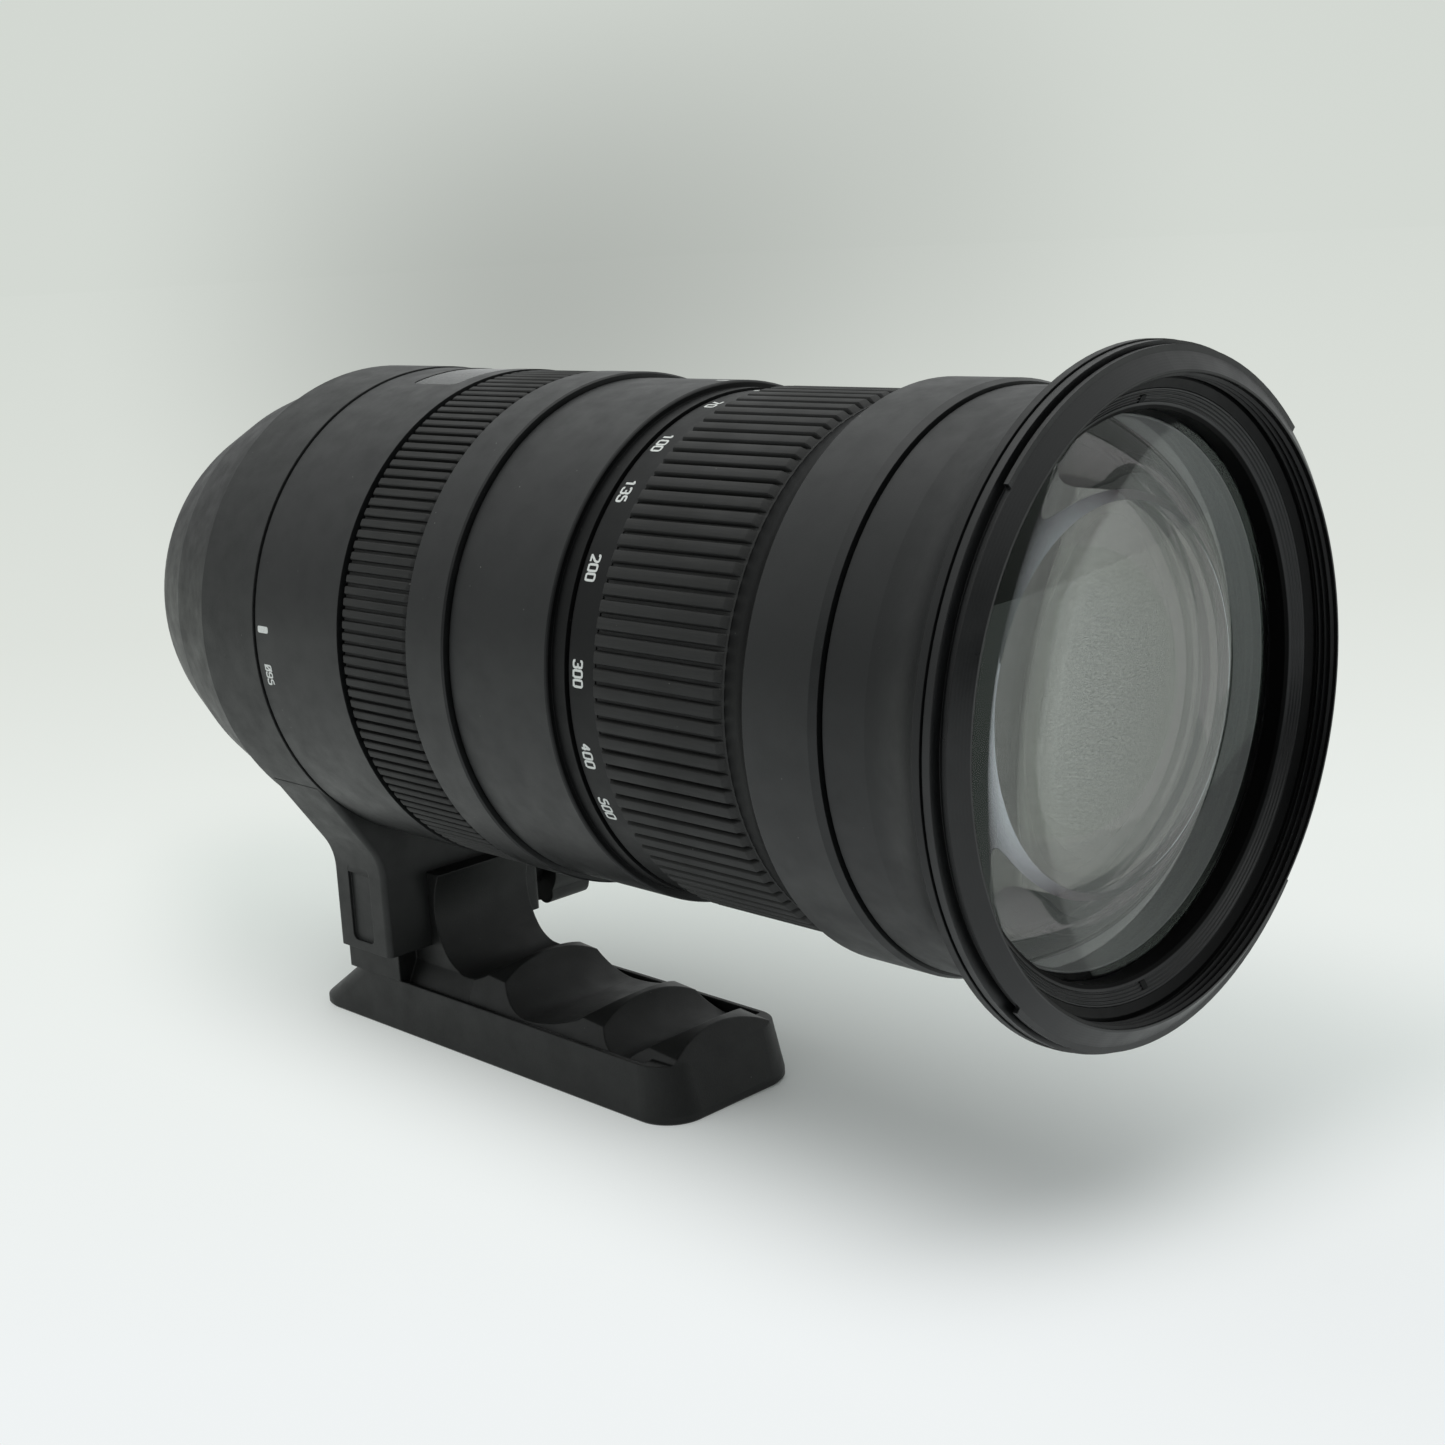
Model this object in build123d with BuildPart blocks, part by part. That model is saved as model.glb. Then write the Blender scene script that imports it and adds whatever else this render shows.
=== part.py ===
from build123d import *
import os
from math import atan2, cos, degrees, hypot, radians, sin, sqrt

# Super-telephoto zoom lens on its tripod foot, at its shortest setting.
# The origin is on the optical axis in the plane of the mount flange.
# +X points forwards through the front glass, +Z up, +Y to the left of someone behind the camera.
# All lengths are in millimetres and all angles in degrees.

os.makedirs("parts", exist_ok=True)

# Shared values
full_circle = 360.0
half_circle = 180.0
top_angle = 90.0
bottom_angle = 270.0
diagonal_angle = 45.0
offset_angle = 30.0
overrun = 2.0
slip = 0.3
tube_gap = 0.4
seam_gap = 0.6
screw_clearance = 0.1

# Mount at the rear end
flange_radius = 32.5
flange_thickness = 2.5
flange_bore = 24.0
spigot_length = 3.6
spigot_radius = 25.2
mount_lug_radius = 26.9
mount_lug_thickness = 1.4
mount_lug_count = 3
mount_lug_angle = 52.0
mount_screw_count = 4
mount_screw_circle = 29.2
mount_screw_radius = 1.0
mount_screw_head_radius = 1.9
mount_screw_head_depth = 0.95
mount_screw_length = 5.6

# Rear light baffle, contact block and contact pins
baffle_thickness = 1.6
baffle_radius = 26.2
baffle_window_width = 34.0
baffle_window_height = 23.0
contact_block_depth = 5.0
contact_block_half_angle = 33.0
contact_count = 8
contact_pitch_angle = 7.4
contact_pin_radius = 0.55
contact_pin_length = 3.0
contact_pin_height = 0.5

# Tapered rear cover and the journal that the tripod collar turns on
rear_wall_thickness = 1.8
rear_edge_radius = 35.0
rear_rim_radius = 36.1
rear_rim_length = 2.3
taper_knee_radius = 41.4
taper_knee_length = 13.5
taper_end_radius = 46.0
taper_end_length = 16.4
cover_wall = 1.8
journal_wall = 1.6

# Tripod collar
collar_radius = 46.65
collar_wall = 2.05
collar_length = 17.2
liner_thickness = 0.3
pedestal_inset = 0.5
pedestal_half_width = 22.8
pedestal_far_half_width = 17.0
pedestal_flare_width = 35.4
pedestal_flare_height = -30.5
pedestal_waist_height = -48.3
pedestal_far_waist_height = -56.5
pedestal_bottom = -68.4
pedestal_waist_fillet = 12.0
pedestal_edge_fillet = 1.2
panel_length = 7.0
panel_height = 16.0
panel_top = -50.5
panel_depth = 0.7
panel_corner = 1.4

# Collar lock knob
knob_height = -61.0
knob_radius = 9.8
knob_lobe_radius = 2.6
knob_lobe_count = 5
knob_base_radius = 4.5
knob_base_length = 3.6
knob_gap = 1.0
knob_thickness = 11.9
knob_chamfer = 1.4
knob_stem_radius = 3.0
knob_stem_length = 5.6

# Tripod foot: base with a thin lip round its pocket
foot_bottom = -87.1
foot_rear = 16.0
foot_front = 126.0
foot_half_width = 17.5
foot_corner = 8.0
foot_side_height = 1.7
foot_top = -76.3
foot_top_rear = 29.0
foot_top_front = 123.4
foot_top_half_width = 16.5
foot_top_corner = 6.5
foot_edge_chamfer = 0.5
neck_rear = 29.9
neck_front = 46.8
neck_half_width = 16.8
lip_width = 0.9
pocket_depth = 2.4
pocket_end_wall = 6.0

# Spine of the foot: a block under the collar, then an arched bar cut by three finger scoops
spine_half_width = 12.2
spine_shoulder = -72.6
spine_root_half_width = 16.2
spine_root = -80.5
block_top = -53.0
block_top_front = 56.4
arch_rise = 3.0
arch_rear_station = 66.0
arch_rear_top = -67.7
arch_front_top = -72.7
hollow_depth_back = 2.2
hollow_depth_drop = 8.0
hollow_turn_reach = 0.4
hollow_turn_drop = 16.4
hollow_floor_reach = 7.8
hollow_floor_drop = 19.9
first_crest_reach = 17.8
first_crest_drop = 14.0
first_wall_reach = 2.2
first_wall_drop = 6.4
first_floor_reach = 9.3
first_floor_drop = 9.6
first_slope_reach = 22.9
first_slope_drop = 6.7
second_crest_reach = 28.2
second_crest_drop = 2.6
second_wall_reach = 1.2
second_wall_drop = 4.6
second_floor_reach = 5.6
second_floor_drop = 8.0
second_slope_reach = 10.8
second_slope_drop = 6.7
third_crest_reach = 18.4
third_crest_drop = 1.9
foot_screw_count = 2
foot_screw_spacing = 18.0
foot_screw_radius = 2.0
foot_screw_head_radius = 3.4
foot_screw_head_height = 3.0
foot_screw_grip = 6.0
foot_screw_socket_radius = 1.4
foot_screw_recess = 3.0
bush_station = 72.0
bush_radius = 5.2
bush_bore = 3.1
bush_length = 9.0
bush_bore_length = 8.0

# Scale section with its distance window and switch panel
barrel_radius = 46.4
scale_length = 25.4
scale_wall = 1.5
scale_rear_wall = 2.0
drum_wall = 0.5
drum_length = 18.4
sleeve_wall = 1.1
sleeve_overlap = 2.1
window_length = 13.0
window_width = 25.0
window_offset = 8.4
window_thickness = 1.2
window_clearance = 0.1
panel_base_length = 19.0
panel_base_height = 28.0
panel_base_offset = 3.2
panel_base_rise = 2.0
panel_seat_gap = 0.05
panel_base_corner = 2.5
switch_slot_length = 9.0
switch_slot_width = 3.6
switch_slot_depth = 1.1
switch_spacing = 8.6
switch_length = 4.6
switch_width = 3.0
switch_height = 2.4
switch_lift = 0.2
switch_corner = 0.5

# Focus ring
focus_length = 28.9
focus_grip_inset = 0.3
focus_grip_length = 18.8
focus_grip_depth = 1.3
focus_grip_radius = 46.2
focus_band_radius = 46.3
focus_edge_chamfer = 0.3
focus_groove_depth = 0.85
focus_rib_count = 142
focus_rib_share = 0.62

# Smooth fixed barrel and its neck
fixed_radius = 45.2
fixed_length = 24.3
fixed_edge_chamfer = 0.4
neck_radius = 44.0
neck_length = 3.1

# Zoom ring with its number strip, rubber, cove and front band
strip_radius = 43.6
strip_length = 6.1
zoom_grip_length = 27.8
zoom_grip_radius = 44.4
zoom_grip_seat = 43.2
zoom_groove_depth = 1.0
zoom_rib_count = 103
zoom_rib_share = 0.68
cove_rear_radius = 43.4
cove_length = 6.5
band_radius = 46.4
band_length = 12.5
band_chamfer_length = 1.3
band_chamfer_depth = 0.5
band_wall = 1.8
zoom_lip_length = 2.4
zoom_turn = 116.0
zoom_travel = 88.0
key_count = 3
key_radius = 1.8
key_offset = 7.0
key_reach = 1.0

# Cam tube, extension tube and guide tube, one inside the other
cam_wall = 1.4
cam_rear_offset = 2.9
roller_count = 3
roller_radius = 2.4
roller_lift = 0.05
roller_offset = 8.0
extension_wall = 2.0
extension_rear_offset = 2.0
guide_wall = 1.8
guide_front_gap = 5.4
guide_neck_radius = 32.0
guide_neck_length = 11.7
guide_step_length = 2.0
guide_foot_radius = 34.4
guide_foot_length = 1.8
board_thickness = 1.2
board_edge_gap = 0.4
board_width = 5.0
stator_length = 9.0
stator_thickness = 2.3
stator_offset = 6.0

# Front barrel with its flare, and the filter ring with its hood bayonet
front_inset = 1.0
front_straight = 7.6
flare_length = 13.8
flare_rise = 6.8
front_lip_length = 1.25
front_wall = 1.4
front_rear_wall = 2.0
rim_inset = 0.2
rim_seam_length = 0.3
rim_seam_depth = 0.5
rim_band_length = 1.25
rim_groove_length = 0.8
rim_groove_depth = 2.1
rim_flange_length = 0.8
rim_flange_inset = 1.5
hood_lug_rise = 0.9
hood_lug_half_angle = 45.0
rim_cone_length = 1.8
rim_lip = 0.4
rim_wall = 4.5
thread_length = 3.7
thread_step = 0.85
thread_step_depth = 0.8
ring_seat_step = 1.3
ring_seat_length = 1.5

# Ribbed retaining ring round the front glass, with its two spanner slots
retainer_width = 3.05
retainer_overlap = 0.7
retainer_clearance = 0.1
retainer_slope = 1.3
retainer_rear_length = 3.3
slot_width = 2.4
slot_depth = 1.2

# Front lens cell and its two elements
front_glass_edge = 4.0
front_glass_bulge = 5.6
glass_clearance = 0.2
cell_wall = 1.1
cell_seat_length = 2.0
cell_seat_width = 2.1
cell_rear_lip_length = 2.0
cell_rear_lip_width = 2.5
second_glass_edge = 1.5
second_glass_bulge = 4.2
spacer_gap = 0.1
spacer_lift = 0.2
spacer_rim = 0.3
spacer_taper = 3.6

# Moving zoom groups inside the guide tube
cell_ring_wall = 2.0
pin_radius = 1.8
pin_inset = 0.4
pin_slot_gap = 0.4
cell_pin_count = 3
variator_front_gap = 2.0
variator_length = 16.0
variator_travel = 18.0
variator_glass_radius = 27.0
variator_glass_thickness = 2.0
variator_glass_rim = 8.0
focus_cell_gap = 20.0
focus_cell_length = 10.0
focus_glass_radius = 24.0
focus_glass_edge = 2.5
focus_glass_bulge = 2.4
relay_gap = 48.0
relay_length = 28.0
relay_travel = 26.0
relay_glass_radius = 18.0
relay_glass_edge = 3.0
relay_glass_bulge = 3.2
relay_web_length = 3.0

# Diaphragm in the front of the relay cell
iris_cup_length = 8.0
iris_cup_wall = 1.9
iris_base_thickness = 1.8
iris_aperture_radius = 16.6
blade_count = 9
blade_thickness = 0.2
blade_pitch = 0.4
blade_inner_radius = 17.2
blade_outer_radius = 25.4
blade_pivot_circle = 27.5
blade_arm = 3.8
blade_sweep_angle = 92.0
blade_turn = 32.0
blade_pin_radius = 0.6
blade_tab_radius = 1.5
iris_ring_thickness = 1.2
iris_ring_width = 5.0
iris_ring_gap = 0.4

# Fixed rear group and the stabiliser
rear_flange_length = 2.0
rear_lens_radius = 20.7
rear_lens_edge = 3.0
rear_lens_bulge = 2.2
rear_lens_seat = 1.8
rear_tube_wall = 3.0
rear_tube_length = 14.0
stabiliser_base = 2.0
stabiliser_bore = 17.0
stabiliser_length = 14.0
stabiliser_wall = 2.4
stabiliser_play = 1.2
slide_radius = 31.2
slide_thickness = 1.8
stabiliser_cell_radius = 27.0
stabiliser_cell_length = 6.0
stabiliser_glass_radius = 17.5
stabiliser_glass_edge = 2.4
stabiliser_glass_bulge = 2.2

# Stations along the optical axis that follow from the lengths
cover_rear = flange_thickness
rim_station = cover_rear + rear_rim_length
knee_station = rim_station + taper_knee_length
taper_end = knee_station + taper_end_length
collar_rear = taper_end + seam_gap
collar_front = collar_rear + collar_length
scale_rear = collar_front + seam_gap
scale_front = scale_rear + scale_length
focus_rear = scale_front + seam_gap
focus_front = focus_rear + focus_length
fixed_rear = focus_front + seam_gap
fixed_front = fixed_rear + fixed_length
neck_end = fixed_front + neck_length
zoom_rear = neck_end + seam_gap
strip_front = zoom_rear + strip_length
zoom_grip_front = strip_front + zoom_grip_length
cove_front = zoom_grip_front + cove_length
band_front = cove_front + band_length
zoom_front = band_front + band_chamfer_length
front_rear = zoom_front + seam_gap
flare_rear = front_rear + front_straight
flare_front = flare_rear + flare_length
front_end = flare_front + front_lip_length
rim_seam_end = front_end + rim_seam_length
rim_band_end = rim_seam_end + rim_band_length
rim_groove_end = rim_band_end + rim_groove_length
rim_flange_end = rim_groove_end + rim_flange_length
rim_end = rim_flange_end + rim_cone_length
thread_rear = rim_end - thread_length
ring_seat_front = thread_rear - thread_step_depth
ring_seat_rear = ring_seat_front - ring_seat_length

# Radii of the front end, from its skin inwards
front_radius = barrel_radius - front_inset
flare_radius = front_radius + flare_rise
rim_radius = flare_radius - rim_inset
rim_groove_radius = rim_radius - rim_groove_depth
rim_flange_radius = rim_radius - rim_flange_inset
hood_lug_radius = rim_flange_radius + hood_lug_rise
thread_radius = rim_radius - rim_wall
rim_front_radius = thread_radius + rim_lip
thread_step_radius = thread_radius - thread_step
ring_seat_radius = thread_step_radius - ring_seat_step
retainer_bore = ring_seat_radius - retainer_width
front_glass_radius = retainer_bore + retainer_overlap

# Radii that follow from the outer skin inwards
collar_bore = collar_radius - collar_wall
liner_bore = collar_bore - liner_thickness
journal_radius = liner_bore - slip
journal_bore = journal_radius - journal_wall
scale_bore = barrel_radius - scale_wall
drum_radius = scale_bore - tube_gap
drum_bore = drum_radius - drum_wall
sleeve_radius = drum_bore - tube_gap
sleeve_bore = sleeve_radius - sleeve_wall
focus_bore = sleeve_radius + slip
cam_radius = sleeve_bore - slip
cam_bore = cam_radius - cam_wall
extension_radius = cam_bore - tube_gap
extension_bore = extension_radius - extension_wall
guide_radius = extension_bore - tube_gap
guide_bore = guide_radius - guide_wall
cell_radius = guide_bore - slip


def turn(outline, mode=Mode.ADD):
    """Revolve a closed outline of (station, radius) points round the optical axis."""
    with BuildSketch(Plane.XZ) as section:
        with BuildLine():
            Polyline(*outline, close=True)
        make_face()
    revolve(section.sketch, axis=Axis.X, mode=mode)


def ring(rear, front, inner, outer, mode=Mode.ADD):
    """A plain tube between two stations and two radii."""
    turn([(rear, inner), (rear, outer), (front, outer), (front, inner)], mode)


def ribbed_sleeve(rear, front, seat, floor, top, count, share):
    """A rubber sleeve with lengthwise ribs; the share is the part of the pitch that a rib takes."""
    pitch = full_circle / count
    outline = []
    for index in range(count):
        start = half_circle + pitch * index
        for radius, angle in (
            (floor, start),
            (top, start),
            (top, start + pitch * share),
            (floor, start + pitch * share),
        ):
            outline.append((radius * cos(radians(angle)), radius * sin(radians(angle))))
    with BuildSketch(Plane.YZ.offset(rear)) as section:
        with BuildLine():
            Polyline(*outline, close=True)
        make_face()
        Circle(seat, mode=Mode.SUBTRACT)
    extrude(section.sketch, amount=front - rear)


def sag_radius(half_width, bulge):
    """Radius of the sphere that rises by the bulge over the half width."""
    return (half_width**2 + bulge**2) / (2 * bulge)


def lens_section(rear, front, radius, rear_bulge, front_bulge):
    """Half section of a lens element; a positive bulge is convex and a negative one hollow."""
    half = radius / 2
    rear_middle = rear
    front_middle = front
    if rear_bulge:
        rear_sphere = sag_radius(radius, rear_bulge)
        rear_side = 1 if rear_sphere > 0 else -1
        rear_middle = rear - rear_bulge + rear_sphere - rear_side * sqrt(rear_sphere**2 - half**2)
    if front_bulge:
        front_sphere = sag_radius(radius, front_bulge)
        front_side = 1 if front_sphere > 0 else -1
        front_middle = front + front_bulge - front_sphere + front_side * sqrt(front_sphere**2 - half**2)
    with BuildSketch(Plane.XZ) as section:
        with BuildLine():
            if rear_bulge:
                ThreePointArc((rear - rear_bulge, 0), (rear_middle, half), (rear, radius))
            else:
                Line((rear, 0), (rear, radius))
            Line((rear, radius), (front, radius))
            if front_bulge:
                ThreePointArc((front, radius), (front_middle, half), (front + front_bulge, 0))
            else:
                Line((front, radius), (front, 0))
            Line((front + front_bulge, 0), (rear - rear_bulge, 0))
        make_face()
    return section.sketch


def radial_plane(station, angle, radius):
    """Plane facing outwards at a station, at an angle from +Y towards +Z."""
    outwards = (0, cos(radians(angle)), sin(radians(angle)))
    foot = (station, radius * outwards[1], radius * outwards[2])
    return Plane(origin=foot, x_dir=(1, 0, 0), z_dir=outwards)


def finish(name, piece):
    """Label a finished piece and write it."""
    piece.label = name
    export_step(piece, "parts/" + name + ".step")


# Mount plate: flange, spigot and three bayonet lugs, with countersunk screw holes
mount_angles = [diagonal_angle + full_circle / mount_screw_count * index for index in range(mount_screw_count)]
with BuildPart() as mount_plate:
    ring(0, flange_thickness, flange_bore, flange_radius)
    ring(-spigot_length, 0, flange_bore, spigot_radius)
    with BuildSketch(Plane.YZ.offset(-spigot_length)) as lug_sketch:
        for index in range(mount_lug_count):
            middle = top_angle + full_circle / mount_lug_count * index
            with BuildLine():
                start = middle - mount_lug_angle / 2
                inner = CenterArc((0, 0), (flange_bore + spigot_radius) / 2, start, mount_lug_angle)
                outer = CenterArc((0, 0), mount_lug_radius, start, mount_lug_angle)
                Line(inner @ 0, outer @ 0)
                Line(inner @ 1, outer @ 1)
            make_face()
    extrude(amount=mount_lug_thickness)
    for angle in mount_angles:
        side = cos(radians(angle)) * mount_screw_circle
        rise = sin(radians(angle)) * mount_screw_circle
        with Locations(Plane(origin=(0, side, rise), z_dir=(-1, 0, 0))):
            CounterSinkHole(
                mount_screw_radius + screw_clearance,
                mount_screw_head_radius + screw_clearance,
                flange_thickness + overrun,
            )
finish("mount_plate", mount_plate.part)

# Mount screws
with BuildPart() as mount_screws:
    for angle in mount_angles:
        side = cos(radians(angle)) * mount_screw_circle
        rise = sin(radians(angle)) * mount_screw_circle
        seat = Plane(origin=(screw_clearance, side, rise), z_dir=(1, 0, 0))
        with BuildSketch(seat):
            Circle(mount_screw_radius)
        extrude(amount=mount_screw_length)
        with BuildSketch(seat):
            Circle(mount_screw_head_radius)
        with BuildSketch(seat.offset(mount_screw_head_depth)):
            Circle(mount_screw_radius)
        loft()
finish("mount_screws", mount_screws.part)

# Rear light baffle with its oblong window
baffle_rear = flange_thickness
baffle_front = baffle_rear + baffle_thickness
with BuildPart() as rear_baffle:
    ring(baffle_rear, baffle_front, 0, baffle_radius)
    with BuildSketch(Plane.YZ.offset(baffle_rear - overrun)):
        RectangleRounded(baffle_window_width, baffle_window_height, mount_screw_head_radius)
    extrude(amount=baffle_thickness + 2 * overrun, mode=Mode.SUBTRACT)
finish("rear_baffle", rear_baffle.part)

# Contact block on the lower side of the baffle, inside the mount bore
block_radius = flange_bore - slip
block_rear = baffle_rear - contact_block_depth - screw_clearance
pin_circle = block_radius - contact_block_depth / 2
first_pin_angle = bottom_angle - contact_pitch_angle * (contact_count - 1) / 2
pin_angles = [first_pin_angle + contact_pitch_angle * index for index in range(contact_count)]
with BuildPart() as contact_block:
    with BuildSketch(Plane.YZ.offset(block_rear)):
        with BuildLine():
            start = bottom_angle - contact_block_half_angle
            outer = CenterArc((0, 0), block_radius, start, 2 * contact_block_half_angle)
            inner = CenterArc((0, 0), block_radius - contact_block_depth, start, 2 * contact_block_half_angle)
            Line(inner @ 0, outer @ 0)
            Line(inner @ 1, outer @ 1)
        make_face()
    extrude(amount=baffle_rear - block_rear)
    for angle in pin_angles:
        spot = (block_rear, pin_circle * cos(radians(angle)), pin_circle * sin(radians(angle)))
        with BuildSketch(Plane(origin=spot, z_dir=(1, 0, 0))):
            Circle(contact_pin_radius)
        extrude(amount=contact_pin_length - contact_pin_height, mode=Mode.SUBTRACT)
finish("contact_block", contact_block.part)

# Contact pins
with BuildPart() as contact_pins:
    for angle in pin_angles:
        spot = (
            block_rear - contact_pin_height,
            pin_circle * cos(radians(angle)),
            pin_circle * sin(radians(angle)),
        )
        with BuildSketch(Plane(origin=spot, z_dir=(1, 0, 0))):
            Circle(contact_pin_radius)
        extrude(amount=contact_pin_length)
finish("contact_pins", contact_pins.part)

# Tapered rear cover, one shell with the collar journal
wall_front = cover_rear + rear_wall_thickness
with BuildPart() as rear_cover:
    turn([
        (cover_rear, baffle_radius + slip),
        (cover_rear, rear_edge_radius),
        (rim_station, rear_rim_radius),
        (knee_station, taper_knee_radius),
        (taper_end, taper_end_radius),
        (taper_end, journal_radius),
        (scale_rear, journal_radius),
        (scale_rear, journal_bore),
        (taper_end - cover_wall, journal_bore),
        (knee_station, taper_knee_radius - cover_wall),
        (rim_station, rear_rim_radius - cover_wall),
        (wall_front, rear_rim_radius - cover_wall),
        (wall_front, baffle_radius + slip),
    ])
    for angle in mount_angles:
        spot = (0, mount_screw_circle * cos(radians(angle)), mount_screw_circle * sin(radians(angle)))
        with BuildSketch(Plane(origin=spot, z_dir=(1, 0, 0))):
            Circle(mount_screw_radius + screw_clearance)
        extrude(amount=wall_front + overrun, mode=Mode.SUBTRACT)
finish("rear_cover", rear_cover.part)

# Guide tube: neck screwed to the rear wall, step, and the long tube with its straight slots
guide_neck_front = wall_front + guide_neck_length
guide_step_front = guide_neck_front + guide_step_length
guide_front = front_rear - guide_front_gap
variator_front = guide_front - variator_front_gap
variator_rear = variator_front - variator_length
focus_cell_rear = variator_rear - focus_cell_gap - focus_cell_length
focus_cell_front = focus_cell_rear + focus_cell_length
relay_front = focus_cell_rear - relay_gap
relay_rear = relay_front - relay_length
variator_pin = variator_rear + variator_length / 2
relay_pin = relay_rear + 2 * pin_radius
variator_pin_angles = [top_angle + full_circle / cell_pin_count * index for index in range(cell_pin_count)]
relay_pin_angles = [offset_angle + full_circle / cell_pin_count * index for index in range(cell_pin_count)]
pin_tip = guide_radius - pin_inset
slot_half = pin_radius + pin_slot_gap


def straight_slot(angle, slot_rear, slot_front):
    """Cut a round-ended slot through the guide tube, from one pin station to another."""
    with BuildSketch(radial_plane((slot_rear + slot_front) / 2, angle, guide_bore - overrun)) as slot:
        SlotCenterToCenter(slot_front - slot_rear, 2 * slot_half)
    extrude(slot.sketch, amount=guide_wall + 2 * overrun, mode=Mode.SUBTRACT)


with BuildPart() as guide_tube:
    turn([
        (wall_front, guide_neck_radius - guide_wall),
        (wall_front, guide_foot_radius - tube_gap),
        (wall_front + guide_foot_length, guide_foot_radius - tube_gap),
        (wall_front + guide_foot_length, guide_neck_radius),
        (guide_neck_front, guide_neck_radius),
        (guide_neck_front, guide_radius),
        (guide_front, guide_radius),
        (guide_front, guide_bore),
        (guide_step_front, guide_bore),
        (guide_step_front, guide_neck_radius - guide_wall),
    ])
    for angle in variator_pin_angles:
        straight_slot(angle, variator_pin - variator_travel, variator_pin)
    for angle in relay_pin_angles:
        straight_slot(angle, relay_pin, relay_pin + relay_travel)
    for angle in mount_angles:
        spot = (0, mount_screw_circle * cos(radians(angle)), mount_screw_circle * sin(radians(angle)))
        with BuildSketch(Plane(origin=spot, z_dir=(1, 0, 0))):
            Circle(mount_screw_radius + screw_clearance)
        extrude(amount=mount_screw_length + overrun, mode=Mode.SUBTRACT)
finish("guide_tube", guide_tube.part)

# Ring-shaped circuit board against the step of the guide tube
with BuildPart() as circuit_board:
    board_bore = guide_neck_radius + board_edge_gap
    ring(guide_neck_front - board_thickness, guide_neck_front, board_bore, board_bore + board_width)
finish("circuit_board", circuit_board.part)

# Ring motor stator round the rear of the guide tube
with BuildPart() as motor_stator:
    stator_rear = guide_step_front + stator_offset
    stator_bore = guide_radius + screw_clearance
    ring(stator_rear, stator_rear + stator_length, stator_bore, stator_bore + stator_thickness)
finish("motor_stator", motor_stator.part)

# Tripod collar: ring, flared pedestal, side panel and the hole for the knob's stem
pedestal_rear = collar_rear + pedestal_inset
pedestal_length = collar_length - pedestal_inset
pedestal_middle = pedestal_rear + pedestal_length / 2
foot_screw_station = (pedestal_rear + neck_front) / 2
knob_station = pedestal_middle
with BuildPart() as tripod_collar:
    with BuildSketch(Plane.YZ.offset(pedestal_rear)):
        with BuildLine():
            Polyline(
                (pedestal_flare_width, pedestal_flare_height),
                (pedestal_far_half_width, pedestal_far_waist_height),
                (pedestal_far_half_width, pedestal_bottom),
                (-pedestal_half_width, pedestal_bottom),
                (-pedestal_half_width, pedestal_waist_height),
                (-pedestal_flare_width, pedestal_flare_height),
                close=True,
            )
        pedestal_face = make_face()
        pedestal_corners = pedestal_face.vertices().group_by(Axis.Y)
        fillet(pedestal_corners[1] + pedestal_corners[2], pedestal_waist_fillet)
    extrude(amount=pedestal_length)
    pedestal_sides = edges().filter_by(Axis.Z)
    fillet(pedestal_sides, pedestal_edge_fillet)
    ring(collar_rear, collar_front, 0, collar_radius)
    ring(collar_rear - overrun, collar_front + overrun, 0, collar_bore, mode=Mode.SUBTRACT)
    panel_plane = Plane(
        origin=(pedestal_middle, -pedestal_half_width, panel_top - panel_height / 2),
        x_dir=(1, 0, 0),
        z_dir=(0, -1, 0),
    )
    with BuildSketch(panel_plane):
        RectangleRounded(panel_length, panel_height, panel_corner)
    extrude(amount=-panel_depth, mode=Mode.SUBTRACT)
    knob_seat = pedestal_far_half_width + knob_gap
    knob_plane = Plane(origin=(knob_station, knob_seat, knob_height), z_dir=(0, 1, 0))
    with BuildSketch(knob_plane):
        Circle(knob_stem_radius + slip)
    extrude(amount=-(knob_stem_length + slip), mode=Mode.SUBTRACT)
    for index in range(foot_screw_count):
        side = foot_screw_spacing * (index - (foot_screw_count - 1) / 2)
        with BuildSketch(Plane.XY.offset(pedestal_bottom)):
            with Locations((foot_screw_station, side)):
                Circle(foot_screw_radius + screw_clearance)
        extrude(amount=foot_screw_grip + screw_clearance, mode=Mode.SUBTRACT)
finish("tripod_collar", tripod_collar.part)

# Felt liner in the collar's bore
with BuildPart() as collar_liner:
    ring(collar_rear, collar_front, liner_bore, collar_bore)
finish("collar_liner", collar_liner.part)

# Lock knob with its lobes and stem
with BuildPart() as lock_knob:
    with BuildSketch(knob_plane):
        Circle(knob_base_radius)
    extrude(amount=knob_base_length)
    with BuildSketch(knob_plane.offset(knob_base_length)):
        Circle(knob_radius - knob_lobe_radius / 2)
        with PolarLocations(knob_radius - knob_lobe_radius, knob_lobe_count):
            Circle(knob_lobe_radius)
    extrude(amount=knob_thickness)
    chamfer(faces().sort_by(Axis.Y)[-1].edges(), knob_chamfer)
    with BuildSketch(knob_plane):
        Circle(knob_stem_radius)
    extrude(amount=-knob_stem_length)
finish("lock_knob", lock_knob.part)

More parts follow.
